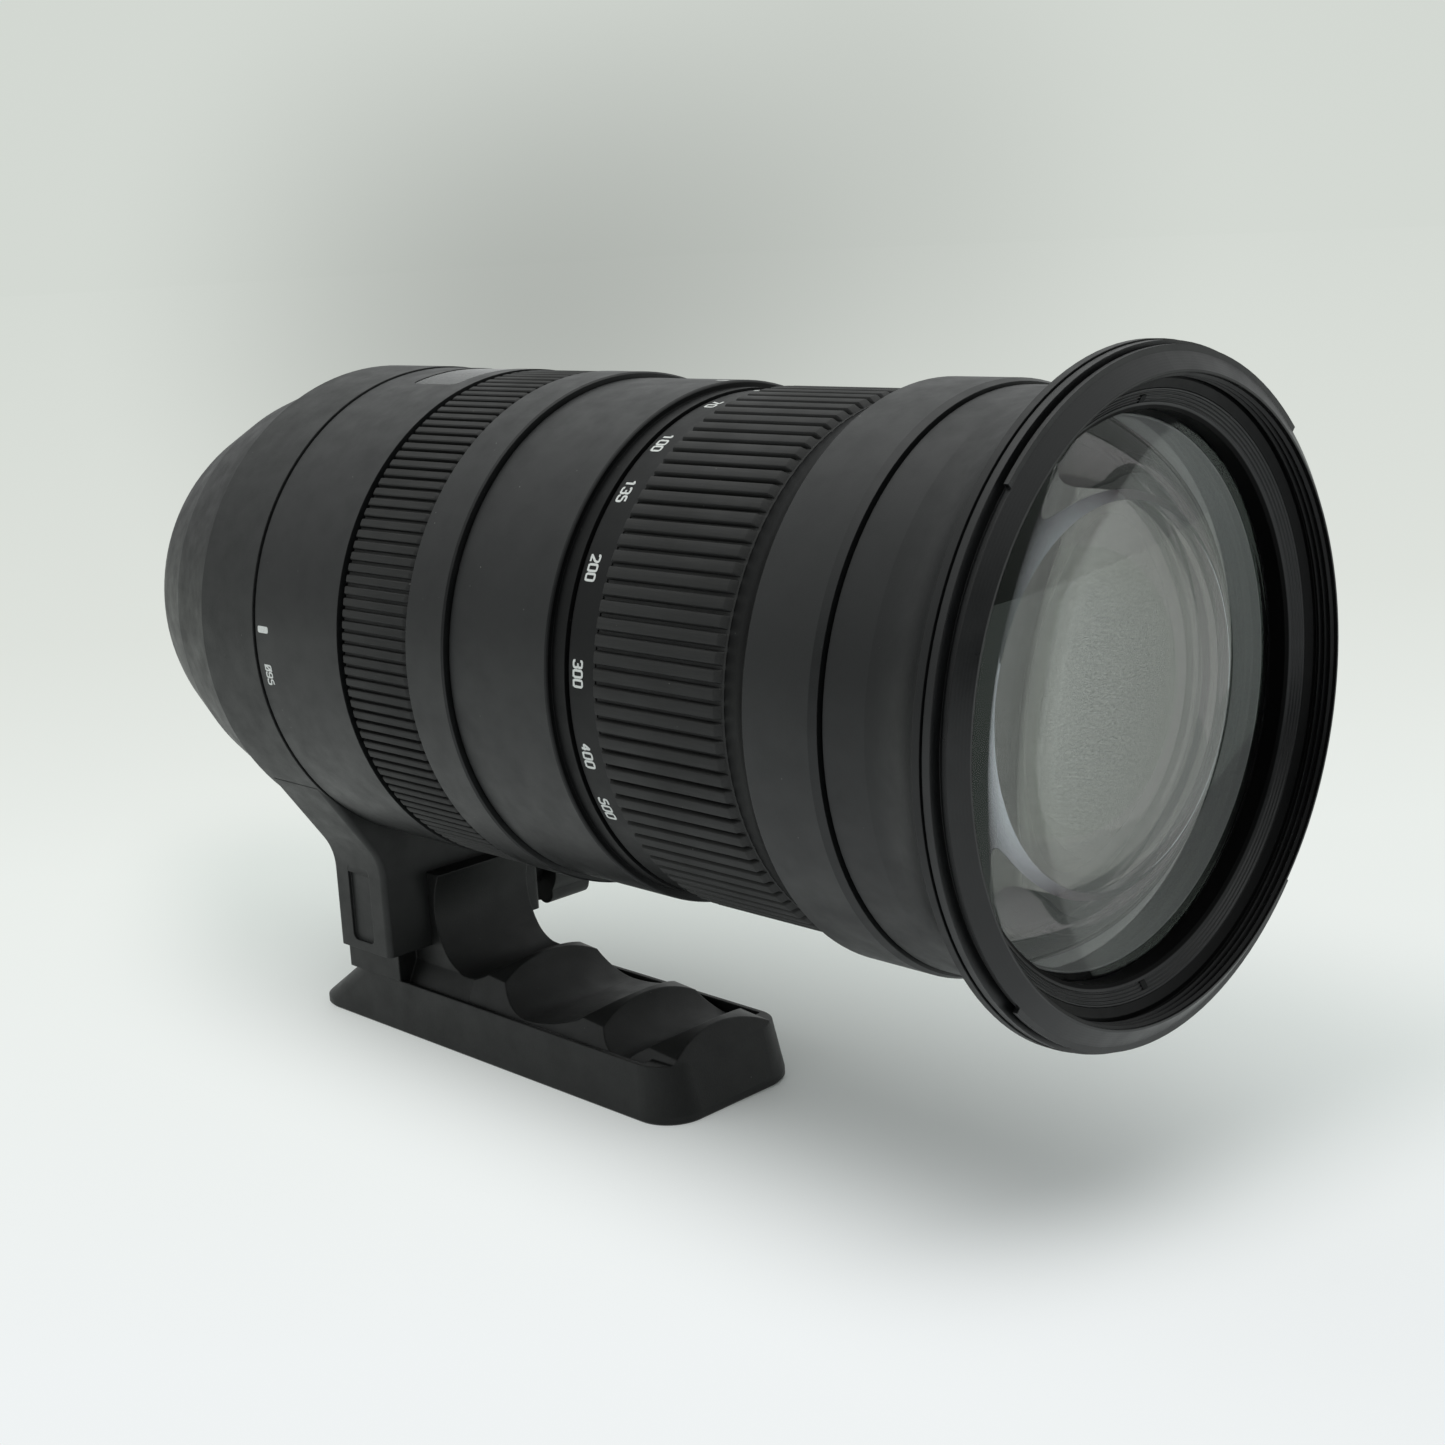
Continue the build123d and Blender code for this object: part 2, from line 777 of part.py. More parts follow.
# Spine of the tripod foot: the side view with its scoops, kept inside the arched bar
base_middle = (foot_rear + foot_front) / 2
top_middle = (foot_top_rear + foot_top_front) / 2
skirt_top = foot_bottom + foot_side_height
first_crest = (block_top_front + first_crest_reach, block_top - first_crest_drop)
second_crest = (first_crest[0] + second_crest_reach, first_crest[1] - second_crest_drop)
third_crest = (second_crest[0] + third_crest_reach, second_crest[1] - third_crest_drop)
with BuildPart() as arched_bar:
    with BuildSketch(Plane.YZ):
        with BuildLine():
            Polyline(
                (spine_root_half_width, skirt_top),
                (spine_root_half_width, spine_root),
                (spine_half_width, spine_shoulder),
                (spine_half_width, block_top + overrun),
                (-spine_half_width, block_top + overrun),
                (-spine_half_width, spine_shoulder),
                (-spine_root_half_width, spine_root),
                (-spine_root_half_width, skirt_top),
                close=True,
            )
        make_face()
    extrude(amount=arch_rear_station)
    for station, arch_top in ((arch_rear_station, arch_rear_top), (foot_front, arch_front_top)):
        with BuildSketch(Plane.YZ.offset(station)):
            with BuildLine():
                ThreePointArc(
                    (-spine_half_width, arch_top - arch_rise),
                    (0, arch_top),
                    (spine_half_width, arch_top - arch_rise),
                )
                Polyline(
                    (spine_half_width, arch_top - arch_rise),
                    (spine_root_half_width, spine_root),
                    (spine_root_half_width, skirt_top),
                    (-spine_root_half_width, skirt_top),
                    (-spine_root_half_width, spine_root),
                    (-spine_half_width, arch_top - arch_rise),
                )
            make_face()
    loft(ruled=True)

with BuildPart() as spine:
    with BuildSketch(Plane.XZ):
        with BuildLine():
            hollow = ThreePointArc(
                (block_top_front, block_top),
                (block_top_front - hollow_depth_back, block_top - hollow_depth_drop),
                (block_top_front + hollow_turn_reach, block_top - hollow_turn_drop),
            )
            floor_end = (block_top_front + hollow_floor_reach, block_top - hollow_floor_drop)
            floor = TangentArc(hollow @ 1, floor_end, tangent=hollow % 1)
            TangentArc(floor @ 1, first_crest, tangent=floor % 1)
            first_wall = ThreePointArc(
                first_crest,
                (first_crest[0] + first_wall_reach, first_crest[1] - first_wall_drop),
                (first_crest[0] + first_floor_reach, first_crest[1] - first_floor_drop),
            )
            first_slope_end = (first_crest[0] + first_slope_reach, first_crest[1] - first_slope_drop)
            first_slope = TangentArc(first_wall @ 1, first_slope_end, tangent=first_wall % 1)
            Line(first_slope @ 1, second_crest)
            second_wall = ThreePointArc(
                second_crest,
                (second_crest[0] + second_wall_reach, second_crest[1] - second_wall_drop),
                (second_crest[0] + second_floor_reach, second_crest[1] - second_floor_drop),
            )
            second_slope_end = (second_crest[0] + second_slope_reach, second_crest[1] - second_slope_drop)
            second_slope = TangentArc(second_wall @ 1, second_slope_end, tangent=second_wall % 1)
            Polyline(
                second_slope @ 1,
                third_crest,
                (foot_top_front, foot_top),
                (foot_top_front, skirt_top),
                (neck_rear, skirt_top),
                (neck_rear, pedestal_bottom),
                (collar_front, pedestal_bottom),
                (collar_front, block_top),
                (block_top_front, block_top),
            )
        make_face()
    extrude(amount=foot_half_width, both=True)
    add(arched_bar.part, mode=Mode.INTERSECT)
    with BuildSketch(Plane.XY.offset(foot_bottom)):
        with Locations((top_middle, 0)):
            RectangleRounded(foot_top_front - foot_top_rear, 2 * foot_top_half_width, foot_top_corner)
    extrude(amount=block_top + overrun - foot_bottom, mode=Mode.INTERSECT)

# Tripod foot: base with its pocket, spine, and neck under the pedestal
with BuildPart() as tripod_foot:
    with BuildSketch(Plane.XY.offset(foot_bottom)):
        with Locations((base_middle, 0)):
            RectangleRounded(foot_front - foot_rear, 2 * foot_half_width, foot_corner)
    extrude(amount=foot_side_height)
    chamfer(faces().sort_by(Axis.Z)[0].edges(), foot_edge_chamfer)
    with BuildSketch(Plane.XY.offset(skirt_top)):
        with Locations((base_middle, 0)):
            RectangleRounded(foot_front - foot_rear, 2 * foot_half_width, foot_corner)
    with BuildSketch(Plane.XY.offset(foot_top)):
        with Locations((top_middle, 0)):
            RectangleRounded(foot_top_front - foot_top_rear, 2 * foot_top_half_width, foot_top_corner)
    loft(ruled=True)
    pocket_front = foot_top_front - pocket_end_wall
    with BuildSketch(Plane.XY.offset(foot_top)):
        with Locations(((neck_front + pocket_front) / 2, 0)):
            RectangleRounded(pocket_front - neck_front, 2 * (foot_top_half_width - lip_width), foot_edge_chamfer)
    extrude(amount=-pocket_depth, mode=Mode.SUBTRACT)
    add(spine.part)
    with BuildSketch(Plane.XY.offset(foot_top)):
        with Locations(((neck_rear + neck_front) / 2, 0)):
            Rectangle(neck_front - neck_rear, 2 * neck_half_width)
    extrude(amount=pedestal_bottom - foot_top)
    with BuildSketch(Plane.XY.offset(foot_bottom)):
        with Locations((bush_station, 0)):
            Circle(bush_radius)
    extrude(amount=bush_length, mode=Mode.SUBTRACT)
    for index in range(foot_screw_count):
        side = foot_screw_spacing * (index - (foot_screw_count - 1) / 2)
        with BuildSketch(Plane.XY.offset(foot_bottom)):
            with Locations((foot_screw_station, side)):
                Circle(foot_screw_radius + screw_clearance)
        extrude(amount=pedestal_bottom - foot_bottom, mode=Mode.SUBTRACT)
        with BuildSketch(Plane.XY.offset(foot_bottom)):
            with Locations((foot_screw_station, side)):
                Circle(foot_screw_head_radius + screw_clearance)
        extrude(amount=foot_screw_recess + foot_screw_head_height, mode=Mode.SUBTRACT)
finish("tripod_foot", tripod_foot.part)

# Socket-head screws that hold the foot to the pedestal
foot_screw_head_top = foot_bottom + foot_screw_recess + foot_screw_head_height
with BuildPart() as foot_screws:
    for index in range(foot_screw_count):
        side = foot_screw_spacing * (index - (foot_screw_count - 1) / 2)
        with BuildSketch(Plane.XY.offset(foot_screw_head_top)):
            with Locations((foot_screw_station, side)):
                Circle(foot_screw_radius)
        extrude(amount=pedestal_bottom + foot_screw_grip - foot_screw_head_top)
        with BuildSketch(Plane.XY.offset(foot_screw_head_top)):
            with Locations((foot_screw_station, side)):
                Circle(foot_screw_head_radius)
        extrude(amount=-foot_screw_head_height)
        with BuildSketch(Plane.XY.offset(foot_screw_head_top - foot_screw_head_height)):
            with Locations((foot_screw_station, side)):
                RegularPolygon(foot_screw_socket_radius, 6)
        extrude(amount=foot_screw_head_height / 2, mode=Mode.SUBTRACT)
finish("foot_screws", foot_screws.part)

# Threaded bush for the tripod screw
with BuildPart() as tripod_bush:
    with BuildSketch(Plane.XY.offset(foot_bottom)):
        with Locations((bush_station, 0)):
            Circle(bush_radius)
    extrude(amount=bush_length)
    with BuildSketch(Plane.XY.offset(foot_bottom)):
        with Locations((bush_station, 0)):
            Circle(bush_bore)
    extrude(amount=bush_bore_length, mode=Mode.SUBTRACT)
finish("tripod_bush", tripod_bush.part)

# Scale section: skin, rear wall and the long inner sleeve that carries the focus ring
sleeve_front = fixed_rear + sleeve_overlap
window_middle = scale_rear + window_offset + window_length / 2
with BuildPart() as scale_shell:
    turn([
        (scale_rear, sleeve_bore),
        (scale_rear, barrel_radius),
        (scale_front, barrel_radius),
        (scale_front, scale_bore),
        (scale_rear + scale_rear_wall, scale_bore),
        (scale_rear + scale_rear_wall, sleeve_bore),
    ])
    with BuildSketch(Plane.XY):
        with Locations((window_middle, 0)):
            RectangleRounded(window_length, window_width, panel_corner)
    extrude(amount=barrel_radius, mode=Mode.SUBTRACT)
    ring(scale_rear + scale_rear_wall, sleeve_front, sleeve_bore, sleeve_radius)
finish("scale_shell", scale_shell.part)

# Clear distance window, curved like the skin
with BuildPart() as distance_window:
    ring(scale_rear, scale_front, barrel_radius - window_clearance - window_thickness,
         barrel_radius - window_clearance)
    with BuildSketch(Plane.XY.offset(sleeve_radius)):
        with Locations((window_middle, 0)):
            RectangleRounded(
                window_length - 2 * window_clearance,
                window_width - 2 * window_clearance,
                panel_corner,
            )
    extrude(amount=barrel_radius, mode=Mode.INTERSECT)
finish("distance_window", distance_window.part)

# Raised switch panel on the left side, with a recess for each of the three switches
panel_middle = scale_rear + panel_base_offset + panel_base_length / 2
panel_face = barrel_radius + panel_base_rise
switch_heights = [switch_spacing, 0, -switch_spacing]
with BuildPart() as switch_panel:
    with BuildSketch(Plane(origin=(panel_middle, 0, 0), x_dir=(1, 0, 0), z_dir=(0, 1, 0))):
        RectangleRounded(panel_base_length, panel_base_height, panel_base_corner)
    extrude(amount=panel_face)
    ring(0, fixed_rear, 0, barrel_radius + panel_seat_gap, mode=Mode.SUBTRACT)
    with BuildSketch(Plane(origin=(panel_middle, panel_face, 0), x_dir=(1, 0, 0), z_dir=(0, 1, 0))):
        with Locations(*[(0, height) for height in switch_heights]):
            RectangleRounded(switch_slot_length, switch_slot_width, switch_corner)
    extrude(amount=-switch_slot_depth, mode=Mode.SUBTRACT)
finish("switch_panel", switch_panel.part)

# Three sliding switches, each at one end or in the middle of its recess
switch_floor = panel_face - switch_slot_depth + switch_lift
switch_shift = (switch_slot_length - switch_length) / 2 - slip
switch_places = {
    "focus_switch": (-switch_shift, switch_spacing),
    "stabiliser_switch": (0, 0),
    "zoom_lock_switch": (-switch_shift, -switch_spacing),
}
for switch_name, (shift, height) in switch_places.items():
    seat = Plane(origin=(panel_middle + shift, switch_floor, height), x_dir=(1, 0, 0), z_dir=(0, 1, 0))
    with BuildPart() as switch:
        with BuildSketch(seat):
            RectangleRounded(switch_length, switch_width, switch_corner)
        extrude(amount=switch_height)
    finish(switch_name, switch.part)

# Focus ring: bore on the sleeve, seat for the rubber, and the smooth band in front
focus_seat_radius = focus_grip_radius - focus_grip_depth
focus_grip_rear = focus_rear + focus_grip_inset
focus_grip_front = focus_grip_rear + focus_grip_length
with BuildPart() as focus_ring:
    turn([
        (focus_rear, focus_bore),
        (focus_rear, focus_seat_radius),
        (focus_grip_front, focus_seat_radius),
        (focus_grip_front, focus_band_radius),
        (focus_front - focus_edge_chamfer, focus_band_radius),
        (focus_front, focus_band_radius - focus_edge_chamfer),
        (focus_front, focus_bore),
    ])
finish("focus_ring", focus_ring.part)

# Focus ring rubber
with BuildPart() as focus_grip:
    focus_floor = focus_grip_radius - focus_groove_depth
    ribbed_sleeve(focus_grip_rear, focus_grip_front, focus_seat_radius, focus_floor, focus_grip_radius,
                  focus_rib_count, focus_rib_share)
finish("focus_grip", focus_grip.part)

# Distance scale drum, fixed to the rear of the focus ring
with BuildPart() as distance_drum:
    ring(focus_rear - drum_length, focus_rear, drum_bore, drum_radius)
finish("distance_drum", distance_drum.part)

# Smooth fixed barrel with its stepped neck
with BuildPart() as fixed_barrel:
    turn([
        (fixed_rear, focus_bore),
        (fixed_rear, fixed_radius),
        (fixed_front - fixed_edge_chamfer, fixed_radius),
        (fixed_front, fixed_radius - fixed_edge_chamfer),
        (fixed_front, neck_radius),
        (neck_end, neck_radius),
        (neck_end, sleeve_bore),
        (sleeve_front, sleeve_bore),
        (sleeve_front, focus_bore),
    ])
finish("fixed_barrel", fixed_barrel.part)

# Zoom ring: number strip, rubber seat, cove, front band and the inner lip that closes its front
lip_rear = zoom_front - zoom_lip_length
band_bore = band_radius - band_wall
key_station = lip_rear - key_offset
key_angles = [offset_angle + full_circle / key_count * index for index in range(key_count)]
with BuildPart() as zoom_ring:
    with BuildSketch(Plane.XZ) as zoom_section:
        with BuildLine():
            Polyline(
                (zoom_grip_front, zoom_grip_seat),
                (strip_front, zoom_grip_seat),
                (strip_front, strip_radius),
                (zoom_rear, strip_radius),
                (zoom_rear, sleeve_bore),
                (zoom_grip_front, sleeve_bore),
                (cove_front, band_bore),
                (lip_rear, band_bore),
                (lip_rear, cam_bore),
                (zoom_front, cam_bore),
                (zoom_front, band_radius - band_chamfer_depth),
                (band_front, band_radius),
                (cove_front, band_radius),
            )
            cove = RadiusArc(
                (cove_front, band_radius),
                (zoom_grip_front, cove_rear_radius),
                2 * cove_length,
            )
            Line((zoom_grip_front, cove_rear_radius), (zoom_grip_front, zoom_grip_seat))
        make_face()
    revolve(zoom_section.sketch, axis=Axis.X)
    for angle in key_angles:
        with BuildSketch(radial_plane(key_station, angle, cam_bore)) as key_hole:
            Circle(key_radius + screw_clearance)
        extrude(key_hole.sketch, amount=band_bore + key_reach + screw_clearance - cam_bore, mode=Mode.SUBTRACT)
finish("zoom_ring", zoom_ring.part)

# Zoom ring rubber
with BuildPart() as zoom_grip:
    zoom_floor = zoom_grip_radius - zoom_groove_depth
    ribbed_sleeve(strip_front, zoom_grip_front, zoom_grip_seat, zoom_floor, zoom_grip_radius,
                  zoom_rib_count, zoom_rib_share)
finish("zoom_grip", zoom_grip.part)

# Cam tube with its three helical slots; a roller runs the whole zoom travel in each
cam_rear = scale_rear + scale_rear_wall + cam_rear_offset
cam_front = lip_rear - tube_gap
roller_station = cam_rear + roller_offset
cam_slot_width = 2 * (roller_radius + tube_gap)
cam_middle_radius = (cam_radius + cam_bore) / 2
cam_pitch = zoom_travel * full_circle / zoom_turn
roller_angles = [top_angle + full_circle / roller_count * index for index in range(roller_count)]
with BuildPart() as cam_cutter:
    with BuildLine():
        slot_path = Helix(
            cam_pitch,
            zoom_travel,
            cam_middle_radius,
            center=(roller_station, 0, 0),
            direction=(1, 0, 0),
        )
    with BuildSketch(Plane(origin=slot_path @ 0, x_dir=(0, 0, 1), z_dir=slot_path % 0)):
        Rectangle(cam_wall + overrun, cam_slot_width)
    sweep(path=slot_path, is_frenet=True)
    slot_ends = ((roller_station, roller_angles[0]), (roller_station + zoom_travel, roller_angles[0] + zoom_turn))
    for station, angle in slot_ends:
        with BuildSketch(radial_plane(station, angle, cam_bore - overrun / 2)):
            Circle(cam_slot_width / 2)
        extrude(amount=cam_wall + overrun)
with BuildPart() as cam_tube:
    ring(cam_rear, cam_front, cam_bore, cam_radius)
    for angle in roller_angles:
        add(cam_cutter.part.rotate(Axis.X, angle - roller_angles[0]), mode=Mode.SUBTRACT)
    for angle in key_angles:
        with BuildSketch(radial_plane(key_station, angle, cam_bore - overrun)) as key_hole:
            Circle(key_radius + screw_clearance)
        extrude(key_hole.sketch, amount=cam_wall + 2 * overrun, mode=Mode.SUBTRACT)
finish("cam_tube", cam_tube.part)

# Zoom keys that lock the cam tube to the zoom ring
with BuildPart() as zoom_keys:
    for angle in key_angles:
        with BuildSketch(radial_plane(key_station, angle, cam_bore + screw_clearance)):
            Circle(key_radius)
        extrude(amount=band_bore + key_reach - cam_bore - screw_clearance)
finish("zoom_keys", zoom_keys.part)

# Extension tube behind the front barrel
extension_rear = cam_rear + extension_rear_offset
with BuildPart() as extension_tube:
    ring(extension_rear, front_rear, extension_bore, extension_radius)
finish("extension_tube", extension_tube.part)

# Cam rollers on the rear of the extension tube
with BuildPart() as cam_rollers:
    for angle in roller_angles:
        with BuildSketch(radial_plane(roller_station, angle, extension_radius + roller_lift)):
            Circle(roller_radius)
        extrude(amount=cam_radius - extension_radius - 2 * roller_lift)
finish("cam_rollers", cam_rollers.part)

# Front barrel: rear wall, straight part and the flare up to the rim
flare_inner_rear = front_rear + front_rear_wall
with BuildPart() as front_barrel:
    with BuildSketch(Plane.XZ) as barrel_section:
        with BuildLine():
            Polyline(
                (flare_rear, front_radius),
                (front_rear, front_radius),
                (front_rear, extension_bore),
                (flare_inner_rear, extension_bore),
                (flare_inner_rear, front_radius - front_wall),
                (flare_rear, front_radius - front_wall),
            )
            TangentArc(
                (flare_rear, front_radius - front_wall),
                (flare_front, flare_radius - front_wall),
                tangent=(1, 0),
            )
            Polyline(
                (flare_front, flare_radius - front_wall),
                (front_end, flare_radius - front_wall),
                (front_end, flare_radius),
                (flare_front, flare_radius),
            )
            TangentArc((flare_rear, front_radius), (flare_front, flare_radius), tangent=(1, 0))
        make_face()
    revolve(barrel_section.sketch, axis=Axis.X)
finish("front_barrel", front_barrel.part)

# Filter ring with its thread, and the two bayonet lugs for the hood, above and below
with BuildPart() as filter_ring:
    turn([
        (ring_seat_rear, ring_seat_radius),
        (ring_seat_rear, flare_radius - front_wall - slip),
        (front_end, flare_radius - front_wall - slip),
        (front_end, rim_radius - rim_seam_depth),
        (rim_seam_end, rim_radius - rim_seam_depth),
        (rim_seam_end, rim_radius),
        (rim_band_end, rim_radius),
        (rim_band_end, rim_groove_radius),
        (rim_groove_end, rim_groove_radius),
        (rim_groove_end, rim_flange_radius),
        (rim_flange_end, rim_flange_radius),
        (rim_end, rim_front_radius),
        (rim_end, thread_radius),
        (thread_rear, thread_radius),
        (thread_rear, thread_step_radius),
        (ring_seat_front, ring_seat_radius),
    ])
    with BuildSketch(Plane.YZ.offset(rim_groove_end)):
        for middle in (top_angle, bottom_angle):
            with BuildLine():
                start = middle - hood_lug_half_angle
                inner = CenterArc((0, 0), rim_groove_radius, start, 2 * hood_lug_half_angle)
                outer = CenterArc((0, 0), hood_lug_radius, start, 2 * hood_lug_half_angle)
                Line(inner @ 0, outer @ 0)
                Line(inner @ 1, outer @ 1)
            make_face()
    extrude(amount=rim_flange_length)
finish("filter_ring", filter_ring.part)

# Front lens cell: a seat for each of the two elements
front_glass_rear = flare_inner_rear + front_straight + seam_gap + front_glass_edge
cell_bore = front_glass_radius + glass_clearance
cell_seat_rear = front_glass_rear - cell_seat_length
cell_front_radius = cell_bore + cell_wall
cell_rear_radius = front_radius - front_wall - slip
second_bore = front_glass_radius - cell_seat_width
with BuildPart() as front_cell:
    turn([
        (flare_inner_rear, second_bore - cell_rear_lip_width),
        (flare_inner_rear, cell_rear_radius),
        (cell_seat_rear, cell_rear_radius),
        (cell_seat_rear, cell_front_radius),
        (ring_seat_rear, cell_front_radius),
        (ring_seat_rear, cell_bore),
        (front_glass_rear, cell_bore),
        (front_glass_rear, second_bore),
        (flare_inner_rear + cell_rear_lip_length, second_bore),
        (flare_inner_rear + cell_rear_lip_length, second_bore - cell_rear_lip_width),
    ])
finish("front_cell", front_cell.part)

# Front element, and the second element behind it
front_glass_front = front_glass_rear + front_glass_edge
with BuildPart() as front_element:
    revolve(lens_section(front_glass_rear, front_glass_front, front_glass_radius, 0, front_glass_bulge),
            axis=Axis.X)
finish("front_element", front_element.part)

second_rear = flare_inner_rear + cell_rear_lip_length
second_radius = second_bore - glass_clearance
with BuildPart() as second_element:
    revolve(lens_section(second_rear, second_rear + second_glass_edge, second_radius, 0, second_glass_bulge),
            axis=Axis.X)
finish("second_element", second_element.part)

# Spacer between the two elements, a matt cone
spacer_outer = second_bore - spacer_gap
spacer_inner = spacer_outer - spacer_taper
spacer_sphere = sag_radius(second_radius, second_glass_bulge)
second_vertex = second_rear + second_glass_edge + second_glass_bulge
spacer_rear = second_vertex - spacer_sphere + sqrt(spacer_sphere**2 - spacer_inner**2) + spacer_lift
spacer_front = front_glass_rear - spacer_gap
with BuildPart() as glass_spacer:
    turn([
        (spacer_rear, spacer_inner),
        (spacer_rear, spacer_outer),
        (spacer_front, spacer_outer),
        (spacer_front, spacer_outer - spacer_rim),
    ])
finish("glass_spacer", glass_spacer.part)

# Ribbed retaining ring, screwed into the filter ring in front of the glass
retainer_radius = ring_seat_radius - retainer_clearance
retainer_tip = ring_seat_front - retainer_slope
retainer_rear = retainer_tip - retainer_rear_length
with BuildPart() as retaining_ring:
    turn([
        (retainer_rear, retainer_bore),
        (retainer_tip, retainer_bore),
        (ring_seat_front, retainer_radius),
        (ring_seat_rear + retainer_clearance, retainer_radius),
        (ring_seat_rear + retainer_clearance, front_glass_radius),
        (retainer_rear, front_glass_radius),
    ])
    with BuildSketch(Plane.YZ.offset(retainer_tip - slot_depth)):
        with Locations((0, retainer_bore + slot_width / 2), (0, -retainer_bore - slot_width / 2)):
            Rectangle(slot_width, slot_width + overrun)
    extrude(amount=retainer_slope + slot_depth + overrun, mode=Mode.SUBTRACT)
finish("retaining_ring", retaining_ring.part)


def cell_pins(station, angles):
    """Guide pins that stand out from a cell into the straight slots."""
    for angle in angles:
        with BuildSketch(radial_plane(station, angle, cell_radius - cell_ring_wall)) as pin:
            Circle(pin_radius)
        extrude(pin.sketch, amount=pin_tip - cell_radius + cell_ring_wall)


# Variator cell and its hollow element
variator_middle = variator_rear + variator_length / 2
variator_seat = variator_middle - variator_glass_rim / 2
with BuildPart() as variator_cell:
    ring(variator_rear, variator_front, cell_radius - cell_ring_wall, cell_radius)
    ring(variator_seat - cell_ring_wall, variator_seat, variator_glass_radius - cell_ring_wall,
         cell_radius - cell_ring_wall / 2)
    ring(variator_seat - cell_ring_wall, variator_seat + variator_glass_rim,
         variator_glass_radius + glass_clearance, variator_glass_radius + glass_clearance + cell_ring_wall)
    cell_pins(variator_pin, variator_pin_angles)
finish("variator_cell", variator_cell.part)

with BuildPart() as variator_element:
    hollow_depth = (variator_glass_rim - variator_glass_thickness) / 2
    revolve(
        lens_section(variator_seat, variator_seat + variator_glass_rim, variator_glass_radius,
                     -hollow_depth, -hollow_depth),
        axis=Axis.X,
    )
finish("variator_element", variator_element.part)

# Focusing cell and its element, carried by the variator's rails
focus_glass_seat = focus_cell_rear + cell_ring_wall
with BuildPart() as focus_cell:
    ring(focus_cell_rear, focus_cell_front, cell_radius - cell_ring_wall, cell_radius)
    ring(focus_cell_rear, focus_glass_seat, focus_glass_radius - cell_ring_wall,
         cell_radius - cell_ring_wall / 2)
    ring(focus_cell_rear, focus_glass_seat + focus_glass_edge, focus_glass_radius + glass_clearance,
         focus_glass_radius + glass_clearance + cell_ring_wall)
finish("focus_cell", focus_cell.part)

with BuildPart() as focus_element:
    revolve(
        lens_section(focus_glass_seat, focus_glass_seat + focus_glass_edge, focus_glass_radius,
                     0, focus_glass_bulge),
        axis=Axis.X,
    )
finish("focus_element", focus_element.part)

# Relay cell: lens seat at the rear, and the diaphragm's cup with its base plate at the front
iris_base_rear = relay_front - iris_cup_length
iris_base_front = iris_base_rear + iris_base_thickness
iris_cup_bore = cell_radius - iris_cup_wall
relay_seat = relay_rear + relay_web_length
blade_angles = [full_circle / blade_count * index for index in range(blade_count)]
with BuildPart() as relay_cell:
    ring(relay_rear, relay_front, iris_cup_bore, cell_radius)
    ring(relay_rear, relay_seat, relay_glass_radius - cell_ring_wall, cell_radius - iris_cup_wall / 2)
    ring(relay_rear, relay_seat + relay_glass_edge, relay_glass_radius + glass_clearance,
         relay_glass_radius + glass_clearance + cell_ring_wall)
    ring(iris_base_rear, iris_base_front, iris_aperture_radius, cell_radius - iris_cup_wall / 2)
    for angle in blade_angles:
        spot = (iris_base_rear, blade_pivot_circle * cos(radians(angle)), blade_pivot_circle * sin(radians(angle)))
        with BuildSketch(Plane(origin=spot, z_dir=(1, 0, 0))):
            Circle(blade_pin_radius + slip)
        extrude(amount=iris_base_thickness, mode=Mode.SUBTRACT)
    cell_pins(relay_pin, relay_pin_angles)
finish("relay_cell", relay_cell.part)

with BuildPart() as relay_element:
    revolve(
        lens_section(relay_seat, relay_seat + relay_glass_edge, relay_glass_radius, 0, relay_glass_bulge),
        axis=Axis.X,
    )
finish("relay_element", relay_element.part)

